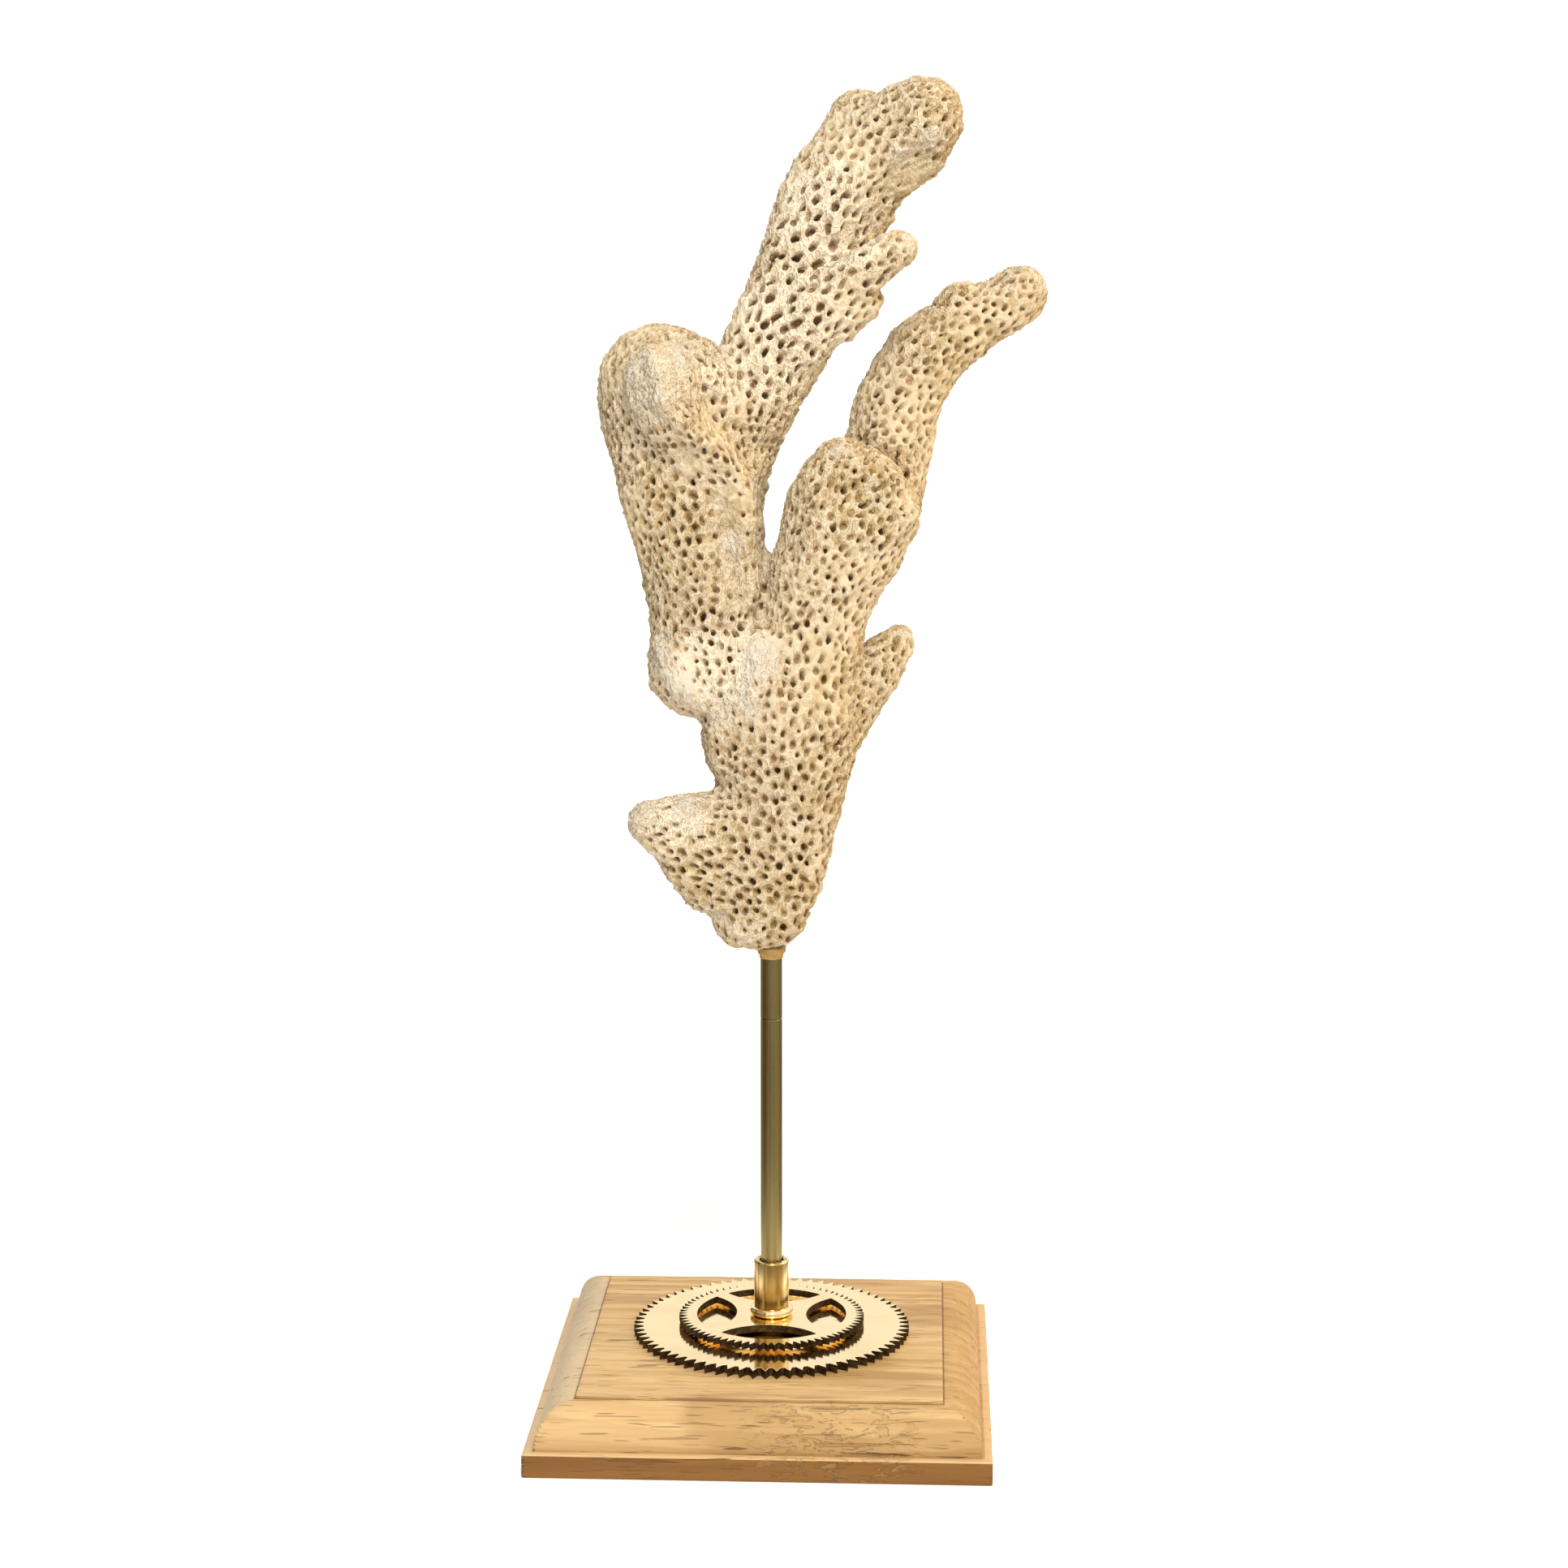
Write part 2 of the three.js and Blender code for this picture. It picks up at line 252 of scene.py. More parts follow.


# %% [markdown]
# ## The board: oak with its grain running left to right
#
# The board is one solid piece of wood, so its figure is a solid pattern too: growth rings around a pith that lies
# below and behind the board and runs along X. Seen from above and from the front the rings draw long streaks, and on
# the two ends they draw arcs. The two ends also get painted light: the left end is painted paler and greyer, the
# right end darker.
# Short dark dashes are the open pores.

# %% Wood finish
wood = Finish("oiled_oak")
PITH = (0, 0.32, 0.26)
RING_PITCH = 0.0061

spot = wood.place()
wander = wood.noise(wood.place((5, 20, 20)), 1.0, 4.0, 0.8)
across = wood.place((0.06, 1, 1), PITH)
radius = wood.node("ShaderNodeVectorMath", {"operation": "LENGTH"}, {0: across}, "Value")
rings = (radius + wander * 0.030) * (1 / RING_PITCH)
ring_share = rings.maths("FRACT", rings)
late_wood = ring_share.ramp(0.1, 0.9) * (1 - ring_share.ramp(0.92, 1.0))
strength = wood.noise(wood.place((6, 34, 34)), 1.0, 2.0).ramp(0.36, 0.64)
fibre = wood.noise(wood.place((26, 700, 700)), 1.0, 4.0)
band = wood.noise(wood.place((9, 150, 150)), 1.0, 3.0)
dashes = wood.noise(wood.place((75, 1300, 1300)), 1.0, 1.0).ramp(0.64, 0.72)
stain = wood.noise(wood.place((12, 55, 55)), 1.0, 4.0, 0.7).ramp(0.50, 0.68)
cracks = wood.noise(wood.place((24, 380, 380), (0.3, 0, 0)), 1.0, 2.0, 0.4).ramp(0.675, 0.72)
height = wood.axis(spot, "Z")
side = wood.axis(spot, "X")
reach_x = side.maths("ABSOLUTE", side)
depth_y = wood.axis(spot, "Y")
reach_y = depth_y.maths("ABSOLUTE", depth_y)
mitred = (reach_x - reach_y).ramp(0.0, 0.0008) * reach_x.ramp(0.0554, 0.0560)
# Painted light: the left end is made paler and greyer and the right end darker, for how the light falls on each
# side.
left_end_painted_light = mitred * side.ramp(0.0, -0.01)
right_end_painted_shade = mitred * side.ramp(0.0, 0.01)
front_moulding = (reach_y - reach_x).ramp(0.0, 0.0008) * reach_y.ramp(0.0554, 0.0560)
# Painted shade: the lower part of the front moulding is made darker, where less light falls on it.
moulding_low_shade = front_moulding * height.ramp(0.0165, 0.0085)
# Painted shade: the square lip at the foot of the board, which faces forward and down, is made dark brown.
lip = height.ramp(7.35 * MM, 6.9 * MM)
# Painted shade: a dark line in the small step round the edge of the field.
groove_shade = reach_x.maths("MAXIMUM", reach_x, reach_y)
groove_shade = groove_shade.ramp(0.0551, 0.0554) * groove_shade.ramp(0.0559, 0.0556) * height.ramp(0.0192, 0.0196)

chip_place = wood.place((150, 420, 460), (0.7, 0, 0))
chip_zone = front_moulding * side.ramp(-0.014, 0.016) * side.ramp(0.056, 0.036)
chips = wood.noise(chip_place, 1.0, 3.0, 1.2).ramp(0.54, 0.62) * chip_zone
reach = reach_x.maths("MAXIMUM", reach_x, reach_y)
# Painted highlight: a light line along the top edge of the lip.
edge_highlight = height.ramp(6.9 * MM, 7.2 * MM) * height.ramp(7.9 * MM, 7.6 * MM) * reach.ramp(0.0675, 0.0680)

tone = wood.mix(late_wood * strength * 0.60 + band * 0.40, rgb(0.70, 0.500, 0.265), rgb(0.44, 0.270, 0.112))
tone = wood.mix(fibre.ramp(0.42, 0.74) * 0.42, tone, rgb(0.40, 0.235, 0.085))
tone = wood.mix(stain * 0.55, tone, rgb(0.34, 0.20, 0.072))
tone = wood.mix(dashes * 0.50, tone, rgb(0.20, 0.105, 0.035))
# Painted shade on the lower front moulding.
tone = wood.mix(moulding_low_shade * 0.30, tone, rgb(0.36, 0.21, 0.08))
# Painted light on the left end and painted shade on the right end.
tone = wood.mix(left_end_painted_light * 0.65, tone, rgb(0.61, 0.52, 0.39))
tone = wood.mix(right_end_painted_shade * 0.45, tone, rgb(0.46, 0.265, 0.085))
# Painted shade on the lip, a little lighter in bands.
tone = wood.mix(lip * 0.92, tone, rgb(0.155, 0.058, 0.005))
tone = wood.mix(lip * band.ramp(0.45, 0.7) * 0.5, tone, rgb(0.27, 0.13, 0.03))
# Painted highlight along the lip's top edge.
tone = wood.mix(edge_highlight * 0.8, tone, rgb(0.66, 0.47, 0.27))
# Painted shade in the step round the field.
tone = wood.mix(groove_shade * 0.8, tone, rgb(0.15, 0.07, 0.02))
tone = wood.mix(cracks * 0.55, tone, rgb(0.11, 0.05, 0.015))
tone = wood.mix(chips * 0.30, tone, rgb(0.42, 0.27, 0.13))
wood.surface(
    Base_Color=tone,
    Roughness=0.48 + fibre * 0.22,
    Normal=wood.bump(fibre * 0.8 + stain * 0.5 - dashes * 0.8 - cracks * 2.0 - chips * 1.8, 0.0003, 0.9),
    IOR=1.45,
)
wood.shader.inputs["Specular IOR Level"].default_value = 0.35
print("wood nodes:", len(wood.tree.nodes))

# %% [markdown]
# ## Shaping the board
#
# A router cut the edge: a square lip at the bottom, a quarter-round above it, and a small step up
# to the flat field. A square grid has exactly the rings of edges that such a board has, from the
# middle out, so each ring is moved to its half-width and height on the profile. The corners come out
# mitred by themselves. Then the field gets the faint ripple, and the front edge the torn fibres,
# that the cutter left.

# %% Board profile
board_low, board_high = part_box("base_board")
HALF_SIDE = board_high.x
BOARD_TOP = board_high.z
LIP_TOP = 7.5 * MM
MOULD_FOOT = 67 * MM
FIELD_HALF = 55.25 * MM
FIELD_STEP = 1.0 * MM
EASE = 0.8 * MM


def arc(centre, radius, start, end, steps):
    """Points of an arc in the half-width and height plane; the angles are in degrees."""
    angles = np.radians(np.linspace(start, end, steps + 1))
    return [(centre[0] + radius[0] * math.cos(a), centre[1] + radius[1] * math.sin(a)) for a in angles]


def straight(start, end, steps):
    shares = np.linspace(0, 1, steps + 1)[1:-1]
    return [(start[0] + (end[0] - start[0]) * s, start[1] + (end[1] - start[1]) * s) for s in shares]


crown = BOARD_TOP - FIELD_STEP
run = MOULD_FOOT - FIELD_HALF - 0.9 * MM
field_edge = arc((FIELD_HALF - 0.35 * MM, BOARD_TOP - 0.35 * MM), (0.35 * MM,) * 2, 90, 0, 3)
ovolo = arc((MOULD_FOOT - run, LIP_TOP + 0.3 * MM), (run, crown - LIP_TOP - 0.3 * MM), 90, 0, 14)
top_ease = arc((HALF_SIDE - EASE, LIP_TOP - EASE), (EASE, EASE), 90, 0, 3)
low_ease = arc((HALF_SIDE - EASE, EASE), (EASE, EASE), 0, -90, 3)
profile = straight((0, BOARD_TOP), field_edge[0], 46)
profile += field_edge + [(FIELD_HALF, crown + 0.25 * MM), (FIELD_HALF + 0.25 * MM, crown)]
profile += ovolo + [(MOULD_FOOT, LIP_TOP)]
profile += straight((MOULD_FOOT, LIP_TOP), top_ease[0], 3) + top_ease
profile += straight(top_ease[-1], low_ease[0], 6) + low_ease
print("profile rings:", len(profile))


# %% Board mesh
def lattice_noise(points, cell, seed):
    """A smooth random value from -1 to 1 at each point. Its bumps are about one cell across."""
    size = 64
    table = np.random.default_rng(seed).uniform(-1, 1, (size,) * 3)
    scaled = points / np.asarray(cell, float) + 1000
    corner = np.floor(scaled).astype(int)
    local = scaled - corner
    local = local * local * (3 - 2 * local)
    total = np.zeros(len(points))
    for step in itertools.product((0, 1), repeat=3):
        share = np.prod(np.where(step, local, 1 - local), axis=1)
        spot = (corner + step) % size
        total += share * table[spot[:, 0], spot[:, 1], spot[:, 2]]
    return total


def smooth_share(value, low, high):
    share = np.clip((value - low) / (high - low), 0, 1)
    return share * share * (3 - 2 * share)


def coordinates(mesh):
    flat = np.empty(len(mesh.vertices) * 3)
    mesh.vertices.foreach_get("co", flat)
    return flat.reshape(-1, 3)


def normals(mesh):
    flat = np.empty(len(mesh.vertices) * 3)
    mesh.vertex_normals.foreach_get("vector", flat)
    return flat.reshape(-1, 3)


def move_vertices(mesh, points):
    mesh.vertices.foreach_set("co", np.ascontiguousarray(points).ravel())
    mesh.update()


rings_out = len(profile)
grid = bmesh.new()
bmesh.ops.create_grid(grid, x_segments=2 * rings_out, y_segments=2 * rings_out, size=rings_out)
rim = [(0.0, BOARD_TOP)] + profile
for vertex in grid.verts:
    ring = round(max(abs(vertex.co.x), abs(vertex.co.y)))
    half, level = rim[ring]
    scale = half / ring if ring else 0
    vertex.co = (vertex.co.x * scale, vertex.co.y * scale, level)
bmesh.ops.holes_fill(grid, edges=[e for e in grid.edges if e.is_boundary], sides=0)
bmesh.ops.recalc_face_normals(grid, faces=grid.faces)
board = new_object("base_board_oak", grid)

spots = coordinates(board.data)
outward = normals(board.data)
inside = np.clip(HALF_SIDE - np.abs(spots[:, :2]).max(1), 0, None)
above = smooth_share(spots[:, 2], 0.5 * MM, 3 * MM)
ripple = lattice_noise(spots, (0.02, 0.006, 0.006), 3) * 0.07 * MM
chatter = lattice_noise(spots, (0.006, 0.0012, 0.0012), 4) * 0.035 * MM
tear = smooth_share(lattice_noise(spots, (0.016, 0.0016, 0.0022), 5), 0.42, 0.72)
front_step = np.exp(-(((spots[:, 1] + FIELD_HALF - 1.6 * MM) / (2.2 * MM)) ** 2))
front_step *= np.abs(spots[:, 0]) < FIELD_HALF
mould = smooth_share(inside, 0.5 * MM, 2 * MM) * (1 - smooth_share(inside, 11 * MM, 15 * MM))
torn = tear * (front_step * 0.42 + mould * 0.10) * MM
move_vertices(board.data, spots + outward * ((ripple + chatter - torn) * above)[:, None])
finish_piece(board, wood, "wood", "base_board", crease=math.radians(32))

# %% [markdown]
# ## Brass, polished and drawn
#
# The wheels, the bead and the collar are buffed to a mirror, so they are nearly all reflection and only their
# roughness wanders a little; the collar's colour also carries painted reflection, dark and bright bands up and down
# it. The upright faces of the wheels, the sides of the teeth among them, are painted near black and dull as painted
# shade, which is what draws the teeth. The rod was drawn through a die and then handled, so it is darker, with fine
# lines along it.

# %% Brass finishes
polished = Finish("polished_brass")
smear = polished.noise(polished.place(), 60.0, 3.0)
hairlines = polished.noise(polished.place((2600, 90, 90)), 1.0, 2.0)
polished.surface(
    Base_Color=polished.mix(smear.ramp(0.35, 0.7), rgb(0.95, 0.75, 0.41), rgb(0.90, 0.68, 0.34)),
    Metallic=1.0,
    Roughness=0.07 + smear * 0.06,
    Normal=polished.bump(hairlines, 0.000006, 0.15),
)

# Painted shade: the upright faces of the wheels, the sides of the teeth among them, are near black brown and dull.
shaded_flank = Finish("brass_edge_painted_shade")
flank_shade_mottle = shaded_flank.noise(shaded_flank.place(), 700.0, 3.0)
shaded_flank.surface(
    Base_Color=shaded_flank.mix(flank_shade_mottle.ramp(0.3, 0.75), rgb(0.022, 0.012, 0.005), rgb(0.10, 0.055, 0.02)),
    Metallic=0.7,
    Roughness=0.45 + flank_shade_mottle * 0.2,
)

collar_finish = Finish("turned_brass")
around = collar_finish.place()
turn_place = collar_finish.place((420, 420, 1.5))
# Painted reflection: dark brown and bright gold bands running up and down the collar; its roughness follows the same
# bands.
painted_reflection_streak = collar_finish.noise(turn_place, 1.0, 2.0)
tarnish = collar_finish.noise(collar_finish.place((300, 300, 130)), 1.0, 3.0)
collar_finish.surface(
    Base_Color=collar_finish.mix(painted_reflection_streak.ramp(0.40, 0.60), rgb(0.98, 0.80, 0.44), rgb(0.50, 0.33, 0.11)),
    Metallic=1.0,
    Roughness=0.10 + painted_reflection_streak * 0.10 + tarnish * 0.06,
)

drawn = Finish("drawn_brass_rod")
line = drawn.noise(drawn.place((1500, 1500, 9)), 1.0, 3.0)
cloud = drawn.noise(drawn.place((60, 60, 22)), 1.0, 3.0)
drawn.surface(
    Base_Color=drawn.mix(line * 0.6 + cloud * 0.4, rgb(0.50, 0.42, 0.20), rgb(0.24, 0.19, 0.08)),
    Metallic=1.0,
    Roughness=0.20 + line * 0.16,
    Normal=drawn.bump(line, 0.00002, 0.4),
)

glue_finish = Finish("amber_glue")
swirl = glue_finish.noise(glue_finish.place(), 600.0, 2.0)
glue_finish.surface(
    Base_Color=glue_finish.mix(swirl, rgb(0.46, 0.30, 0.10), rgb(0.28, 0.16, 0.05)),
    Roughness=0.18 + swirl * 0.12,
    IOR=1.5,
)
print("brass finishes made")

# %% [markdown]
# ## The clock wheels
#
# Each wheel is a flat plate with a V-cut tooth every five degrees. A circle with four vertices to
# a tooth becomes the toothed outline when the right ones are drawn in. The plate is pushed up to
# its thickness, its windows are cut with the Boolean modifier, and every edge is broken with a
# small bevel, because a metal edge only shows by the highlight that it catches.

# %% Wheel helpers
TEETH = 72


def plate_outline(tip, root, tip_land, root_land):
    """A flat toothed face, centred on the origin. The lands are shares of a tooth's pitch."""
    bm = bmesh.new()
    bmesh.ops.create_circle(bm, cap_ends=True, radius=1, segments=4 * TEETH)
    for vertex in bm.verts:
        turn = math.atan2(vertex.co.y, vertex.co.x) * TEETH / math.tau
        tooth = round(turn)
        offset = turn - tooth
        on_tip = abs(offset) < 0.2
        land = tip_land if on_tip else root_land
        middle = 0 if on_tip else math.copysign(0.5, offset)
        nudge = math.copysign(land / 2, offset - middle)
        angle = (tooth + middle + nudge) * math.tau / TEETH
        reach = tip if on_tip else root
        vertex.co = (reach * math.cos(angle), reach * math.sin(angle), 0)
    return bm


def raise_face(bm, height):
    raised = bmesh.ops.extrude_face_region(bm, geom=bm.faces[:])
    tops = [item for item in raised["geom"] if isinstance(item, bmesh.types.BMVert)]
    bmesh.ops.translate(bm, verts=tops, vec=(0, 0, height))
    bmesh.ops.recalc_face_normals(bm, faces=bm.faces)
    return bm


def round_prism(radius, low, high, segments=96, centre=(0, 0)):
    bm = bmesh.new()
    bmesh.ops.create_cone(
        bm, cap_ends=True, segments=segments, radius1=radius, radius2=radius, depth=high - low,
        matrix=Matrix.Translation((*centre, (low + high) / 2)),
    )
    return new_object("cutter", bm)


def combined(target, operation, *tools, solver="MANIFOLD"):
    for tool in tools:
        modify(target, "BOOLEAN", operation=operation, object=tool, solver=solver)
        applied(target)
    discard(*tools)
    return target


def two_finishes(piece, top_finish, side_finish):
    """Level faces and bevels take the first finish, upright faces the second."""
    piece.data.materials.clear()
    piece.data.materials.append(top_finish.material)
    piece.data.materials.append(side_finish.material)
    for face in piece.data.polygons:
        face.material_index = 1 if abs(face.normal.z) < 0.25 else 0


# %% Large wheel
rod_low, rod_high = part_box("lower_rod")
ROD = Vector(((rod_low.x + rod_high.x) / 2, (rod_low.y + rod_high.y) / 2, 0))
ROD_RADIUS = (rod_high.x - rod_low.x) / 2 + 0.2 * MM

large_low, large_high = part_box("large_wheel")
outline = raise_face(plate_outline(43.7 * MM, 40.7 * MM, 0.10, 0.30), large_high.z - large_low.z)
bmesh.ops.translate(outline, verts=outline.verts, vec=(ROD.x, ROD.y, large_low.z))
large_wheel = new_object("large_clock_wheel", outline)
combined(large_wheel, "DIFFERENCE", round_prism(3.45 * MM, 0, 0.05, centre=ROD.xy))
modify(large_wheel, "BEVEL", width=0.22 * MM, segments=2, limit_method="ANGLE", angle_limit=0.6)
applied(large_wheel)
two_finishes(large_wheel, polished, shaded_flank)
finish_piece(large_wheel, None, "polished_brass", "large_wheel", crease=math.radians(18))

# %% Small wheel
small_low, small_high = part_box("small_wheel")
BOSS_HEIGHT = 0.8 * MM
RIM_INSIDE = 23.7 * MM
WINDOW_REACH = 11 * MM
WINDOW_HALF_ANGLE = math.radians(39)

plate_low = small_low.z + BOSS_HEIGHT
outline = raise_face(plate_outline(29.3 * MM, 26.8 * MM, 0.26, 0.18), small_high.z - plate_low)
bmesh.ops.translate(outline, verts=outline.verts, vec=(ROD.x, ROD.y, plate_low))
small_wheel = new_object("small_clock_wheel", outline)

corner_x = RIM_INSIDE * math.cos(WINDOW_HALF_ANGLE)
corner_y = RIM_INSIDE * math.sin(WINDOW_HALF_ANGLE)
sweep = corner_x - WINDOW_REACH
inner_arc = (sweep * sweep + corner_y * corner_y) / (2 * sweep)
for quarter in range(4):
    turn = quarter * math.pi / 2
    reach = WINDOW_REACH + inner_arc
    inner_centre = (ROD.x + reach * math.cos(turn), ROD.y + reach * math.sin(turn))
    window = round_prism(RIM_INSIDE, 0, 0.05, centre=ROD.xy, segments=160)
    combined(window, "INTERSECT", round_prism(inner_arc, -0.01, 0.06, centre=inner_centre, segments=128))
    combined(small_wheel, "DIFFERENCE", window)
combined(small_wheel, "UNION", round_prism(9 * MM, small_low.z, plate_low + 0.2 * MM, centre=ROD.xy))
combined(small_wheel, "DIFFERENCE", round_prism(3.45 * MM, 0, 0.05, centre=ROD.xy))
modify(small_wheel, "BEVEL", width=0.26 * MM, segments=2, limit_method="ANGLE", angle_limit=0.6)
applied(small_wheel)
two_finishes(small_wheel, polished, shaded_flank)
finish_piece(small_wheel, None, "polished_brass", "small_wheel", crease=math.radians(18))

# %% [markdown]
# ## The bead, the collar, the rod and the glue
#
# These were turned on a lathe, so `turned` does the same: it spins a half-profile around the rod.
# A closed profile spun a full turn with its ends merged is a watertight ring.


# %% Turned pieces
def turned(name, outline, steps=96):
    """Spins a closed outline of (radius, height) points round the rod's axis."""
    bm = bmesh.new()
    corners = [bm.verts.new((radius, 0, height)) for radius, height in outline]
    for first, second in zip(corners, corners[1:] + corners[:1]):
        bm.edges.new((first, second))
    bmesh.ops.spin(
        bm, geom=bm.verts[:] + bm.edges[:], cent=(0, 0, 0), axis=(0, 0, 1),
        angle=math.tau, steps=steps, use_merge=True, use_duplicate=False,
    )
    bmesh.ops.remove_doubles(bm, verts=bm.verts, dist=1e-7)
    bmesh.ops.recalc_face_normals(bm, faces=bm.faces)
    bmesh.ops.translate(bm, verts=bm.verts, vec=ROD)
    return new_object(name, bm)


bead_low, bead_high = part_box("bead_washer")
bead_radius = (bead_high.x - bead_low.x) / 2
bead_half = (bead_high.z - bead_low.z) / 2
bead_middle = (bead_high.z + bead_low.z) / 2
bead_outline = arc((bead_radius - bead_half, bead_middle), (bead_half, bead_half), -90, 90, 14)
bead_outline += [(ROD_RADIUS + 0.1 * MM, bead_high.z), (ROD_RADIUS + 0.1 * MM, bead_low.z)]
bead = turned("bead_washer_polished", bead_outline)
finish_piece(bead, polished, "polished_brass", "bead_washer")

collar_low, collar_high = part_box("collar")
COLLAR_RADIUS = (collar_high.x - collar_low.x) / 2
COLLAR_BORE = 3.85 * MM
lip_arc = arc((COLLAR_RADIUS - 0.7 * MM, collar_high.z - 0.7 * MM), (0.7 * MM, 0.7 * MM), 0, 90, 5)
collar_outline = [(COLLAR_BORE, collar_low.z), (COLLAR_RADIUS - 0.25 * MM, collar_low.z)]
collar_outline += [(COLLAR_RADIUS, collar_low.z + 0.25 * MM)] + lip_arc
collar_outline += [(COLLAR_BORE + 0.25 * MM, collar_high.z), (COLLAR_BORE, collar_high.z - 0.25 * MM)]
collar = turned("collar_tube", collar_outline)
finish_piece(collar, collar_finish, "polished_brass", "collar")


# %% Rod in two lengths
def rod_length(name, low, high, ease):
    body = [(0.4 * MM, low), (ROD_RADIUS - ease, low), (ROD_RADIUS, low + ease)]
    body += straight((ROD_RADIUS, low), (ROD_RADIUS, high), 12)
    body += [(ROD_RADIUS, high - ease), (ROD_RADIUS - ease, high), (0.4 * MM, high)]
    made = turned(name, body, steps=64)
    bm = bmesh.new()
    bm.from_mesh(made.data)
    bore = [f for f in bm.faces if (f.calc_center_median() - ROD).xy.length < 0.41 * MM]
    bmesh.ops.delete(bm, geom=bore, context="FACES")
    bmesh.ops.holes_fill(bm, edges=[e for e in bm.edges if e.is_boundary], sides=0)
    bmesh.ops.recalc_face_normals(bm, faces=bm.faces)
    bm.to_mesh(made.data)
    bm.free()
    return made


upper_low, upper_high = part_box("upper_rod")
seam = (rod_high.z + upper_low.z) / 2
lower_rod = rod_length("lower_rod_drawn", rod_low.z, seam - 0.03 * MM, 0.12 * MM)
finish_piece(lower_rod, drawn, "rod_brass", "lower_rod")
upper_rod = rod_length("upper_rod_drawn", seam + 0.03 * MM, upper_high.z, 0.22 * MM)
finish_piece(upper_rod, drawn, "rod_brass", "upper_rod")

glue_low, glue_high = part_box("glue_bead")
GLUE_RADIUS = (glue_high.x - glue_low.x) / 2
glue_outline = [(ROD_RADIUS + 0.02 * MM, glue_low.z), (ROD_RADIUS + 0.30 * MM, glue_low.z + 0.1 * MM)]
glue_outline += arc((GLUE_RADIUS, glue_low.z + 0.3 * MM), (0.95 * MM, 1.5 * MM), 180, 100, 6)
glue_outline += [(GLUE_RADIUS, glue_high.z + 1.3 * MM), (ROD_RADIUS + 0.02 * MM, glue_high.z + 1.3 * MM)]
glue = turned("glue_bead_amber", glue_outline, steps=48)
glue_spots = coordinates(glue.data)
glue_lumps = lattice_noise(glue_spots, 1.8 * MM, 8) * 0.22 * MM
glue_out = normals(glue.data) * (np.linalg.norm(glue_spots[:, :2] - ROD.xy, axis=1) > ROD_RADIUS + 0.2 * MM)[:, None]
move_vertices(glue.data, glue_spots + glue_out * glue_lumps[:, None])
finish_piece(glue, glue_finish, "glue", "glue_bead")

# %% [markdown]
# ## The coral, step by step
#
# The coral is one growth, so it is made in one go and only cut into its eight pieces at the end,
# along the CAD model's own saw planes. The steps are those of nature, roughly: a smooth core, the
# ridges and swellings on it, raised lips, and then the pits, each a small tilted hole that runs in
# and down, so that its lower lip stands proud.

# %% One smooth core
SAW_HALF = 0.15 * MM
SWELL = 0.34 * MM
CORE_CELL = 1.0 * MM

coral_nodes = sorted(name for name in frame["nodes"] if name.startswith("coral_"))
core_parts = bmesh.new()
for name in coral_nodes:
    copy = bmesh.new()
    copy.from_mesh(frame["nodes"][name].data)
    bmesh.ops.remove_doubles(copy, verts=copy.verts, dist=1e-6)
    for vertex in copy.verts:
        vertex.co += vertex.normal * SWELL
    swollen = bpy.data.meshes.new("swollen")
    copy.to_mesh(swollen)
    copy.free()
    core_parts.from_mesh(swollen)
    bpy.data.meshes.remove(swollen)
core = new_object("coral_core", core_parts)
modify(core, "REMESH", mode="VOXEL", voxel_size=CORE_CELL)
modify(core, "SMOOTH", factor=0.5, iterations=14)
applied(core)
scoop_mesh = bmesh.new()
scoop_shape = Matrix.Translation((0.029, -0.0235, 0.290)) @ Matrix.Diagonal((0.0155, 0.0150, 0.0135, 1))
bmesh.ops.create_icosphere(scoop_mesh, subdivisions=4, radius=1, matrix=scoop_shape)
combined(core, "DIFFERENCE", new_object("scoop", scoop_mesh))
modify(core, "REMESH", mode="VOXEL", voxel_size=CORE_CELL)
applied(core)
print("core:", len(core.data.vertices), "vertices")

# %% [markdown]
# Ridges and hollows are lines on one side of the growth, given by X and Z alone: vertices near a
# line are lifted, or sunk, along their normals, the more the closer they are. The scoop in the right
# branch was already taken out of the core with a ball.

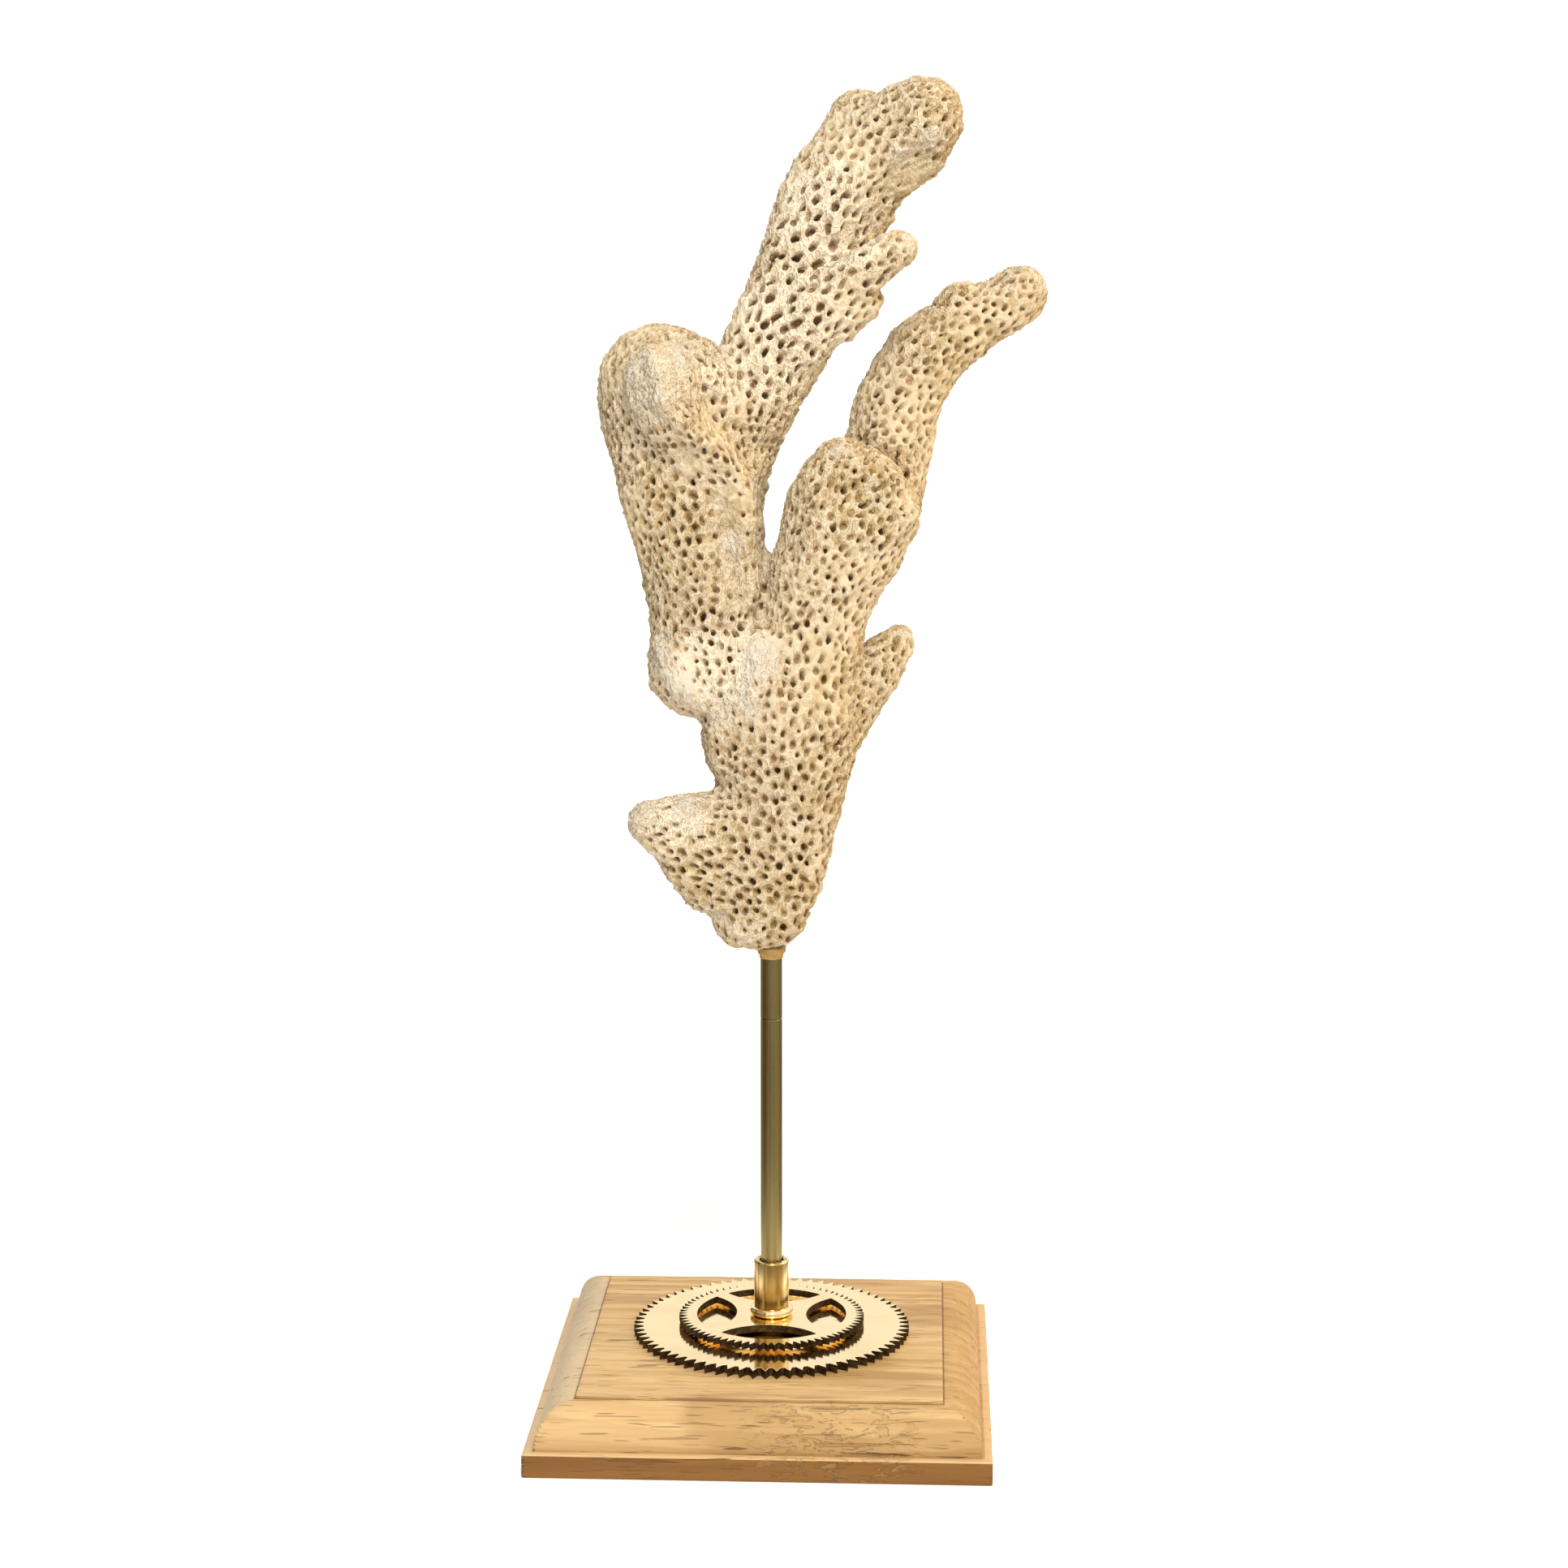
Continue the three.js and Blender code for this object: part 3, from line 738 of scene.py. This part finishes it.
# %% Ridges, hollows and swellings
RELIEF = [
    # points (x, z) in mm, lift in mm, reach in mm, side: -1 the front, 1 the back, 0 all round
    ([(-14, 215), (-16, 205)], 1.8, 4.5, 0),
    ([(-30, 222), (-24, 219)], -1.6, 4.0, 0),
    ([(-27, 170), (-18, 160), (-10, 151)], 2.4, 5.0, 0),
    ([(20, 222), (22, 210)], 2.2, 7.0, 0),
    ([(54, 396), (54, 404)], 1.0, 6.0, 0),
    ([(-33, 331), (-29, 316), (-20, 307), (-12, 300), (-6, 290), (-4, 276), (-4, 256)], 3.4, 2.6, -1),
    ([(-24, 298), (-16, 290), (-11, 280), (-11, 264)], -2.2, 4.5, -1),
    ([(-18, 318), (-9, 308), (2, 298)], -2.2, 4.0, -1),
    ([(-32, 242), (-26, 230), (-15, 222), (-6, 224), (-1, 232), (-2, 242)], 1.5, 2.8, -1),
    ([(-20, 238), (-10, 236)], -0.8, 5.0, -1),
    ([(-7, 256), (-1, 250), (2, 238)], -1.0, 1.4, -1),
    ([(47, 396), (40, 391), (33, 385), (25, 377), (20, 366)], 2.2, 2.6, -1),
    ([(48, 385), (38, 378), (31, 368)], -1.6, 4.0, -1),
    ([(12, 290), (17, 301), (29, 304), (40, 299), (44, 289), (43, 280), (35, 274)], 1.6, 2.2, -1),
        ([(16, 290), (14, 276), (12, 262)], 1.4, 3.0, -1),
    ([(-40, 188), (-23, 194), (-11, 190), (-5, 181)], 1.2, 3.0, -1),
    ([(-20, 262), (-24, 290), (-28, 318)], 1.4, 5.0, 1),
    ([(8, 244), (2, 210), (4, 180)], 1.4, 6.0, 1),
    ([(4, 333), (14, 356), (26, 380)], 1.2, 5.0, 1),
]


def distance_to_line(points, line):
    """Distance from each point to the nearest spot of a line of points."""
    best = np.full(len(points), np.inf)
    for start, end in zip(line[:-1], line[1:]):
        span = end - start
        share = np.clip(((points - start) @ span) / (span @ span), 0, 1)
        best = np.minimum(best, np.linalg.norm(points - start - share[:, None] * span, axis=1))
    return best


spots, outward = coordinates(core.data), normals(core.data)
lift = lattice_noise(spots, 17 * MM, 11) * 0.9 * MM
lift += lattice_noise(spots, 7 * MM, 12) * 0.60 * MM
lift += lattice_noise(spots, 3.6 * MM, 15) * 0.30 * MM
for line, height, reach, facing in RELIEF:
    near = distance_to_line(spots[:, [0, 2]], np.array(line) * MM)
    near += lattice_noise(spots, 5 * MM, 13) * 0.8 * MM
    share = np.clip(outward[:, 1] * facing, 0, 1) ** 0.5 if facing else 1
    lift += height * MM * share * np.exp(-((near / (reach * MM)) ** 2))
move_vertices(core.data, spots + outward * lift[:, None])
core_tree = BVHTree.FromPolygons(
    [tuple(point) for point in coordinates(core.data)], [tuple(face.vertices) for face in core.data.polygons]
)
print("core after relief:", [round(v, 4) for v in coordinates(core.data).max(0)])

# %% [markdown]
# The pits follow the way the coral grew, from the foot to the tips. A few lines through the limbs
# give that direction everywhere, and how far each spot is from its tip.

# %% Growth lines
GROWTH = [
    [(0, 4, 146), (4, 3, 200), (2, 2, 226)],
    [(0, 2, 226), (-20, 1, 250), (-27, -1, 294), (-33, -4, 338)],
    [(-10, -6, 270), (-31, -17, 331)],
    [(-14, 6, 261), (-8, 9, 309), (11, 11, 350), (23, 14, 377), (52, 8, 404)],
    [(20, 14, 380), (27, 17, 406)],
    [(8, 5, 334), (31, -3, 355), (45, -6, 363)],
    [(6, 3, 226), (15, 1, 258), (27, -1, 302)],
    [(25, 0, 270), (45, -3, 285)],
    [(18, 8, 258), (36, 22, 300), (47, 25, 327), (86, 26, 351)],
    [(2, 2, 170), (-26, -4, 183), (-43, -12, 190)],
    [(8, 6, 210), (44, 14, 245)],
]


def growth_field(points):
    """The direction of growth at each point, and its distance to the nearest tip."""
    direction = np.zeros_like(points)
    tips = np.array([line[-1] for line in GROWTH[1:]]) * MM
    for line in GROWTH:
        line = np.array(line) * MM
        for start, end in zip(line[:-1], line[1:]):
            span = end - start
            share = np.clip(((points - start) @ span) / (span @ span), 0, 1)
            away = np.linalg.norm(points - start - share[:, None] * span, axis=1)
            weight = 1 / (away + 1 * MM) ** 4
            direction += weight[:, None] * span / np.linalg.norm(span)
    direction /= np.linalg.norm(direction, axis=1)[:, None]
    to_tip = np.min([np.linalg.norm(points - tip, axis=1) for tip in tips], axis=0)
    return direction, to_tip


# %% [markdown]
# Some places were rubbed smooth and grey by handling and by the sea: the noses of the stubs, the
# crests of the ridges. Their pits are few and small. Elsewhere the pits are larger or smaller than
# usual in patches.

# %% Worn, coarse and bare places
WORN = [
    # centre (x, y, z) in mm, radius in mm
    ((-33, -24, 322), 14), ((-24, -20, 332), 9), ((-18, -16, 303), 6), ((-27, -14, 312), 8),
    ((-33, -10, 238), 8), ((-26, -12, 230), 8), ((-15, -14, 222), 9), ((-5, -14, 226), 8), ((-1, -12, 238), 8),
    ((-24, -12, 191), 7), ((-37, -10, 188), 8), ((-9, -10, 272), 7), ((48, -2, 392), 5),
    ((40, 0, 388), 4), ((84, 24, 351), 8), ((45, -8, 363), 5), ((44, 10, 245), 5),
    ((-6, -9, 148), 9), ((-16, 0, 160), 7), ((-24, -12, 298), 5), ((-4, -4, 288), 5), ((22, -8, 303), 5),
]
COARSE = [((10, 8, 350), 36, 1.30), ((20, 10, 380), 22, 1.12), ((2, 0, 168), 26, 1.10), ((26, -8, 284), 12, 1.10)]
# Painted light: patches made lighter and creamier where the light falls brightest; centre (x, y, z) in mm, radius in
# mm.
LIT_PATCHES = [((6, -8, 335), 26), ((16, -4, 368), 24), ((-14, -14, 236), 16), ((-12, -14, 322), 12), ((-28, -10, 190), 15)]
# Patches made darker and browner; centre (x, y, z) in mm, radius in mm.
DARKER_PATCHES = [
    ((22, -2, 205), 22), ((6, -6, 158), 20), ((-28, -16, 280), 20), ((26, -8, 286), 14), ((42, 12, 245), 12),
    ((-8, -14, 274), 12), ((18, 0, 232), 14), ((46, 10, 378), 14), ((60, 24, 330), 22), ((-20, -14, 168), 12),
]
BARE = [
    ((-13, -12, 286), 8), ((-9, -12, 274), 8), ((-8, -12, 262), 7), ((-1, -8, 276), 7), ((-22, -14, 300), 8),
    ((45, 4, 380), 9), ((36, 2, 372), 7), ((27, -2, 364), 6), ((-40, -10, 189), 8), ((-32, -22, 322), 8),
]


def patch_share(points, centre, radius):
    """1 inside a round patch and 0 outside, with a ragged edge."""
    away = np.linalg.norm(points - np.array(centre) * MM, axis=1) / (radius * MM)
    away += 0.30 * lattice_noise(points, 3.5 * MM, 14)
    return 1 - smooth_share(away, 0.45, 1.15)


def most_of(points, patches):
    return np.max([patch_share(points, *patch[:2]) for patch in patches], axis=0)


def worn_share(points):
    return most_of(points, WORN)


# %% Choosing where the pits go
PIT_SPACING = 2.45 * MM
ALONG_GROWTH = 1.35
spots, outward = coordinates(core.data), normals(core.data)
growth, to_tip = growth_field(spots)
worn = worn_share(spots)
bare = most_of(spots, BARE)
tip_share = smooth_share(to_tip, 3 * MM, 15 * MM)
scale = (0.80 + 0.20 * tip_share) * (1 + 0.12 * lattice_noise(spots, 12 * MM, 21))
for centre, radius, factor in COARSE:
    scale *= 1 + (factor - 1) * patch_share(spots, centre, radius)
spacing = PIT_SPACING * scale * (1 + 0.10 * worn + 0.7 * bare)

random = np.random.default_rng(7)
every_spot = KDTree(len(spots))
for index, point in enumerate(spots):
    every_spot.insert(point, index)
every_spot.balance()
free = np.hypot(spots[:, 0] - ROD.x, spots[:, 1] - ROD.y) + 10 * np.clip(spots[:, 2] - 0.156, 0, 1) > 6 * MM
pits = []
for index in random.permutation(len(spots)):
    if not free[index] or bare[index] > random.uniform(0.35, 1.3):
        continue
    pits.append(index)
    around = [found[1] for found in every_spot.find_range(spots[index], spacing[index] * ALONG_GROWTH)]
    gaps = spots[around] - spots[index]
    lengthwise = gaps @ growth[index]
    crosswise = np.sqrt(np.clip((gaps * gaps).sum(1) - lengthwise**2, 0, None))
    near = np.hypot(crosswise, lengthwise / ALONG_GROWTH) < spacing[index]
    free[np.array(around)[near]] = False
pits = np.array(pits)
print("pits:", len(pits))


# %% Every pit's own directions and size
def pit_axes(normal, forward):
    """Across, up along the surface, and out: three directions at right angles."""
    up = forward - normal * (forward * normal).sum(1)[:, None]
    length = np.linalg.norm(up, axis=1)[:, None]
    up = np.where(length < 0.25, np.cross(normal, (1.0, 0.0, 0.0)), up)
    up /= np.linalg.norm(up, axis=1)[:, None]
    return np.cross(up, normal), up, normal


count = len(pits)
pit_at, pit_out = spots[pits], outward[pits]
pit_side, pit_up, pit_out = pit_axes(pit_out, growth[pits])
roll = np.radians(random.uniform(-26, 26, count))[:, None]
pit_side, pit_up = pit_side * np.cos(roll) + pit_up * np.sin(roll), pit_up * np.cos(roll) - pit_side * np.sin(roll)
pit_at = pit_at + pit_side * random.uniform(-0.3, 0.3, (count, 1)) * MM
pit_size = random.uniform(0.80, 1.15, count) * scale[pits] * (1 - 0.42 * worn[pits]) * (1 - 0.35 * bare[pits])
pit_wide = 0.90 * MM * pit_size
pit_long = random.uniform(1.15, 2.6, count) * MM * pit_size * (1 - 0.35 * worn[pits])
pit_tilt = np.radians(random.uniform(30, 58, count))
print("widest pit:", round(float(pit_wide.max()) * 2 / MM, 2), "mm")

# %% [markdown]
# The skin between the pits is a net. It is first remeshed finer. Then every vertex looks for the
# pits around it: near a pit it sinks into that pit's bowl, which is longer on the side of growth,
# and just below a mouth it rises into a lip. What stays high are the cords of the net.

# %% The net between the pits
SKIN_CELL = 0.56 * MM
BOWL_DEPTH = 0.85 * MM
LIP_HEIGHT = 0.34 * MM
modify(core, "REMESH", mode="VOXEL", voxel_size=SKIN_CELL)
modify(core, "SMOOTH", factor=0.5, iterations=1)
skin = applied(core)
skin_spots, skin_out = coordinates(skin.data), normals(skin.data)

pit_tree = KDTree(count)
for number, point in enumerate(pit_at):
    pit_tree.insert(point, number)
pit_tree.balance()
near = np.array([[found[1] for found in pit_tree.find_n(point, 4)] for point in skin_spots])
worn = worn_share(skin_spots)
wobble = lattice_noise(skin_spots, 1.2 * MM, 23) * 0.34
bowl, lip = np.zeros(len(skin_spots)), np.zeros(len(skin_spots))
for column in near.T:
    gap = skin_spots - pit_at[column]
    sideways = (gap * pit_side[column]).sum(1) / (pit_wide[column] * 1.15)
    upwards = (gap * pit_up[column]).sum(1) / pit_wide[column]
    away = np.hypot(sideways, np.where(upwards > 0, upwards / 2.0, upwards / 1.3)) + wobble
    size = pit_wide[column] / (0.90 * MM)
    bowl = np.maximum(bowl, (1 - smooth_share(away, 0.35, 1.25)) * size)
    below = np.hypot(sideways / 1.1, (upwards + 1.7) / 0.75)
    lip = np.maximum(lip, np.exp(-below * below) * size)
cords = 1 - np.abs(lattice_noise(skin_spots, (1.9 * MM, 1.9 * MM, 3.4 * MM), 24)) * 2.2
lift = 0.10 * MM - bowl * BOWL_DEPTH + lip * LIP_HEIGHT + np.clip(cords, 0, 1) * (1 - bowl) * 0.36 * MM
move_vertices(skin.data, skin_spots + skin_out * (lift * (1 - 0.35 * worn))[:, None])
print("skin:", len(skin_spots), "vertices")

# %% [markdown]
# Each pit is cut by a plug: a long ball, tilted so that it goes in and down. Eight plugs, each bent
# differently, keep the pits from looking punched. They are all stamped into one mesh.

# %% Plugs
PLUG_KINDS = 8


def plug_shape(seed):
    bm = bmesh.new()
    bmesh.ops.create_icosphere(bm, subdivisions=2, radius=1)
    mesh = bpy.data.meshes.new("plug")
    bm.to_mesh(mesh)
    bm.free()
    points = coordinates(mesh)
    points *= 1 + 0.42 * lattice_noise(points, 0.8, seed)[:, None]
    return mesh, points


plug_kinds = [plug_shape(30 + kind) for kind in range(PLUG_KINDS)]
plugs = bmesh.new()
for number in range(count):
    tilt = pit_tilt[number]
    inward = -pit_out[number] * math.cos(tilt) - pit_up[number] * math.sin(tilt)
    over = np.cross(inward, pit_side[number])
    mesh, shape = plug_kinds[random.integers(PLUG_KINDS)]
    stretch = np.array([
        pit_side[number] * pit_wide[number],
        over * pit_wide[number] * random.uniform(1.15, 1.75),
        inward * pit_long[number],
    ])
    centre = pit_at[number] + inward * pit_long[number] * 0.40
    move_vertices(mesh, shape @ stretch + centre)
    plugs.from_mesh(mesh)
plug_object = new_object("plugs", plugs)
print("plugs:", len(plug_object.data.polygons), "faces")

# %% [markdown]
# Now the cut itself, then a fine remesh that rounds the pits' mouths a little, and the grain of the
# skeleton: fine threads that run the way it grew.

# %% Cutting the pits and the rod's hole
FINE_CELL = 0.42 * MM
combined(skin, "DIFFERENCE", plug_object)
combined(skin, "DIFFERENCE", round_prism(ROD_RADIUS + 0.2 * MM, 0.13, 0.182, centre=ROD.xy, segments=48))
modify(skin, "REMESH", mode="VOXEL", voxel_size=FINE_CELL)
modify(skin, "SMOOTH", factor=0.4, iterations=1)
applied(skin)
print("pitted skin:", len(skin.data.vertices), "vertices")

# %% Threads, and how deep every spot lies
spots, outward = coordinates(skin.data), normals(skin.data)
depth = np.zeros(len(spots))
for number, point in enumerate(spots):
    found, way, face, away = core_tree.find_nearest(point)
    depth[number] = (found - Vector(point)).dot(way)
pit = np.clip(0.2 + depth / (3.0 * MM), 0, 1)
worn = worn_share(spots)
threads = (0.45 - np.abs(lattice_noise(spots, (1.2 * MM, 1.2 * MM, 3.2 * MM), 41))) * 0.42 * MM
threads += lattice_noise(spots, 0.85 * MM, 42) * 0.17 * MM
slanted = spots @ np.array([[1, 0, 1], [0, 1, 0], [-1, 0, 1]])
threads += (0.45 - np.abs(lattice_noise(slanted, (3.4 * MM, 1.2 * MM, 1.2 * MM), 43))) * 0.30 * MM
threads *= (1 + 0.7 * worn) * (1 - smooth_share(depth, 0.8 * MM, 2.2 * MM) * 0.7)
move_vertices(skin.data, spots + outward * threads[:, None])

painted_light, darker_patches = most_of(spots, LIT_PATCHES), most_of(spots, DARKER_PATCHES)
for name, values in (("pit", pit), ("worn", worn), ("painted_light", painted_light), ("darker_patches", darker_patches)):
    layer = skin.data.attributes.new(name, "FLOAT", "POINT")
    layer.data.foreach_set("value", values.astype(np.float32))
print("deepest spot:", round(depth.max() / MM, 2), "mm; mean", round(float(depth.mean()) / MM, 2))

# %% [markdown]
# ## The coral's finish
#
# Bleached skeleton is cream, nearly white where it is rubbed. The pits are painted brown at the bottom, as dust that
# has stayed there and as painted shade, and the crests between them are painted lighter as painted light. Two
# attributes say how deep and how worn each spot is; two more mark patches of painted light and darker, browner
# patches.

# %% Coral finish
coral = Finish("bleached_coral")
pit_depth = coral.attribute("pit")
rubbed = coral.attribute("worn")
broad = coral.noise(coral.place(), 30.0, 3.0)
speck = coral.noise(coral.place(), 480.0, 4.0)
fibre_place = coral.place((1, 1, 0.35))
grain = coral.noise(fibre_place, 1100.0, 4.0, 0.6)
streaks = coral.noise(fibre_place, 420.0, 3.0, 1.5)
bend = coral.node("ShaderNodeTexNoise", {}, {"Vector": coral.place(), "Scale": 700.0, "Detail": 2.0}, "Color")
bend = coral.node("ShaderNodeVectorMath", {"operation": "MULTIPLY"}, {0: bend, 1: (0.9, 0.9, 0.9)})
net_place = coral.node("ShaderNodeVectorMath", {"operation": "ADD"}, {0: coral.place((620, 620, 400)), 1: bend})
net = coral.node("ShaderNodeTexVoronoi", {"feature": "DISTANCE_TO_EDGE"}, {"Vector": net_place, "Scale": 1.0})
holes = net.ramp(0.06, 0.26) * broad.ramp(0.30, 0.55)

tint = coral.mix(broad.ramp(0.35, 0.66), rgb(0.555, 0.445, 0.295), rgb(0.475, 0.365, 0.220))
# Painted light: the lit patches are made lighter and creamier.
tint = coral.mix(coral.attribute("painted_light") * 0.85, tint, rgb(0.82, 0.735, 0.60))
# Darker, browner patches.
tint = coral.mix(coral.attribute("darker_patches") * 0.65, tint, rgb(0.415, 0.300, 0.120))
tint = coral.mix(speck.ramp(0.40, 0.68) * 0.50, tint, rgb(0.74, 0.63, 0.47))
tint = coral.mix(holes * 0.42, tint, rgb(0.36, 0.225, 0.115))
tint = coral.mix(streaks.ramp(0.52, 0.74) * 0.35, tint, rgb(0.38, 0.26, 0.145))
tint = coral.mix(rubbed * streaks.ramp(0.66, 0.42) * 0.85, tint, rgb(0.64, 0.60, 0.54))
# Painted light and shade by depth: the crests are painted lighter, the pits tan to brown and the deepest nearly
# black, as dust and painted shade.
tint = coral.mix(pit_depth.ramp(0.19, 0.07) * 0.45, tint, rgb(0.80, 0.72, 0.58))
tint = coral.mix(pit_depth.ramp(0.24, 0.50) * 0.55, tint, rgb(0.40, 0.255, 0.115))
tint = coral.mix(pit_depth.ramp(0.60, 1.0) * 0.75, tint, rgb(0.20, 0.10, 0.035))
coral.surface(
    Base_Color=tint,
    Roughness=0.80 + grain * 0.15,
    Normal=coral.bump(grain * 0.45 + speck * 0.35 - holes * 0.8, 0.0006, 0.9),
    IOR=1.5,
)
coral.shader.inputs["Specular IOR Level"].default_value = 0.3
print("coral nodes:", len(coral.tree.nodes))

# %% [markdown]
# ## Sawing the coral at its forks
#
# The CAD model splits the growth at its main forks. The same planes cut the finished skin here,
# but as hairlines: the two faces of a cut lie so close that the coral still looks whole. Only the
# finger stays on its branch, because a thin web joins the two along most of its back.

# %% Saw planes
FORKS = [
    # a point on the limb, the direction across the cut, the disc's radius
    ((-18.2, 2, 177), (-1, 0, -0.07), 27),
    ((31, 10, 229), (0.985, 0, 0.17), 13),
    ((-19.5, 2, 262), (-0.36, 0, 0.93), 20.5),
    ((-5, 9, 320), (0.75, 0.1, 0.66), 18.5),
    ((14.5, 4, 257), (0.63, 0, 0.78), 21.5),
    ((36.5, 22, 300), (0.15, 0.1, 1), 16),
]
KERF = 0.02 * MM
EXTRA_REACH = 2.4 * MM

for at, across_cut, reach in FORKS:
    facing = Vector(across_cut).to_track_quat("Z", "Y").to_matrix().to_4x4()
    disc = bmesh.new()
    bmesh.ops.create_cone(
        disc, cap_ends=True, segments=64, radius1=reach * MM + EXTRA_REACH,
        radius2=reach * MM + EXTRA_REACH, depth=KERF,
        matrix=Matrix.Translation(Vector(at) * MM) @ facing,
    )
    combined(skin, "DIFFERENCE", new_object("saw", disc))
print("sawn:", len(skin.data.vertices), "vertices")

# %% One object for each piece
for thing in bpy.context.scene.objects:
    thing.select_set(thing == skin)
bpy.context.view_layer.objects.active = skin
bpy.ops.object.mode_set(mode="EDIT")
bpy.ops.mesh.select_all(action="SELECT")
bpy.ops.mesh.separate(type="LOOSE")
bpy.ops.object.mode_set(mode="OBJECT")
loose = [thing for thing in bpy.context.selected_objects if thing.type == "MESH"]
loose.sort(key=lambda thing: -len(thing.data.vertices))
print("loose parts:", len(loose), [len(thing.data.vertices) for thing in loose[:12]])

PIECE_LIMIT = 195000
ALSO_STANDS_FOR = {"coral_long_branch": ["coral_finger"]}
middles = {name: sum(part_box(name), Vector()) / 2 for name in coral_nodes if name != "coral_finger"}
wanted = len(middles)
if len(loose[wanted - 1].data.vertices) < 500:
    raise RuntimeError("a saw cut has not gone through")
for thing in loose[wanted:]:
    discard(thing)
for thing in loose[:wanted]:
    spots = coordinates(thing.data)
    middle = Vector((spots.min(0) + spots.max(0)) / 2)
    name = min(middles, key=lambda candidate: (middles[candidate] - middle).length)
    middles.pop(name)
    thing.name = name + "_pitted"
    thing.data.calc_loop_triangles()
    count = len(thing.data.loop_triangles)
    print(name, "has", count, "triangles as cut")
    if count > PIECE_LIMIT:
        modify(thing, "DECIMATE", ratio=PIECE_LIMIT / count)
        applied(thing)
    finish_piece(thing, coral, "coral", name, *ALSO_STANDS_FOR.get(name, []), crease=math.radians(55))

# %% [markdown]
# ## Floor and light
#
# A plain pale floor that runs out of sight, a white sky for the soft overall light, one lamp from above and in
# front, slightly warm, and a weaker, warmer one from the right.
#
# Brass shows what is around it, and in a white void it would look like paper. A dark ring lies on
# the floor, seen only by reflections, as a dark table top would be.

# %% Floor and sky
floor_mesh = bmesh.new()
bmesh.ops.create_circle(floor_mesh, cap_ends=True, radius=30, segments=64)
floor = new_object("floor", floor_mesh)
pale = Finish("pale_floor")
mottle = pale.noise(pale.place(), 3.0, 2.0)
pale_tone = pale.mix(mottle, rgb(0.93, 0.93, 0.93), rgb(0.95, 0.95, 0.945))
pale.surface(Base_Color=pale_tone, Roughness=0.9, Emission_Color=pale_tone, Emission_Strength=0.36)
floor.data.materials.append(pale.material)

sky = bpy.data.worlds.new("soft_sky")
sky.use_nodes = True
sky.node_tree.nodes["Background"].inputs["Color"].default_value = rgb(1.0, 1.0, 1.0)
sky.node_tree.nodes["Background"].inputs["Strength"].default_value = 1.07
bpy.context.scene.world = sky
bpy.context.scene.view_settings.view_transform = "Standard"

# %% Reflection ring
ring_mesh = bmesh.new()
bmesh.ops.create_circle(ring_mesh, cap_ends=False, radius=0.16, segments=96)
bmesh.ops.create_circle(ring_mesh, cap_ends=False, radius=1.6, segments=96)
bmesh.ops.bridge_loops(ring_mesh, edges=ring_mesh.edges[:])
bmesh.ops.translate(ring_mesh, verts=ring_mesh.verts, vec=(0, 0, 0.001))
mirror_ring = new_object("reflection_ring", ring_mesh)
dark = Finish("dark_table")
patch = dark.noise(dark.place(), 5.0, 2.0)
dark.surface(Base_Color=dark.mix(patch.ramp(0.4, 0.6), rgb(0.05, 0.045, 0.03), rgb(0.30, 0.27, 0.2)), Roughness=0.8)
mirror_ring.data.materials.append(dark.material)
for flag in ("visible_camera", "visible_diffuse", "visible_shadow", "visible_transmission"):
    setattr(mirror_ring, flag, False)

# %% [markdown]
# Two cards stand out of the picture, as photographers do it. The dark one on the left takes sky
# light away from every side that faces left, which gives the branches their roundness. The brown
# one on the right does the same and sends some warm light back.


# %% Shading cards
def card(name, finish, *moves):
    mesh = bmesh.new()
    bmesh.ops.create_grid(mesh, x_segments=1, y_segments=1, size=0.5)
    made = new_object(name, mesh)
    for move in moves:
        made.data.transform(move)
    made.data.materials.append(finish.material)
    made.visible_camera = False
    made.visible_shadow = False
    made.visible_glossy = finish is dark


warm_board = Finish("warm_board")
weave = warm_board.noise(warm_board.place(), 9.0, 2.0)
warm_board.surface(Base_Color=warm_board.mix(weave, rgb(0.60, 0.41, 0.13), rgb(0.48, 0.32, 0.10)), Roughness=0.8)
upright = Matrix.Rotation(math.radians(90), 4, "Y")
card("dark_card", dark, upright, Matrix.Translation((-0.34, -0.10, 0.40)))
card("warm_card", warm_board, upright, Matrix.Translation((0.36, -0.05, 0.30)))


# %% Lamps
def lamp(name, place, aim, size, power, colour):
    light = bpy.data.lights.new(name, "AREA")
    light.shape = "DISK"
    light.size = size
    light.energy = power
    light.color = colour
    made = bpy.data.objects.new(name, light)
    made.location = place
    made.rotation_euler = (Vector(aim) - Vector(place)).to_track_quat("-Z", "Y").to_euler()
    bpy.context.scene.collection.objects.link(made)


lamp("key_lamp", (0.15, -0.90, 1.15), (0, 0, 0.25), 0.35, 12, (1.0, 0.94, 0.80))
lamp("warm_lamp", (0.70, 0.10, 0.75), (0, 0, 0.20), 0.30, 2.5, (1.0, 0.72, 0.26))
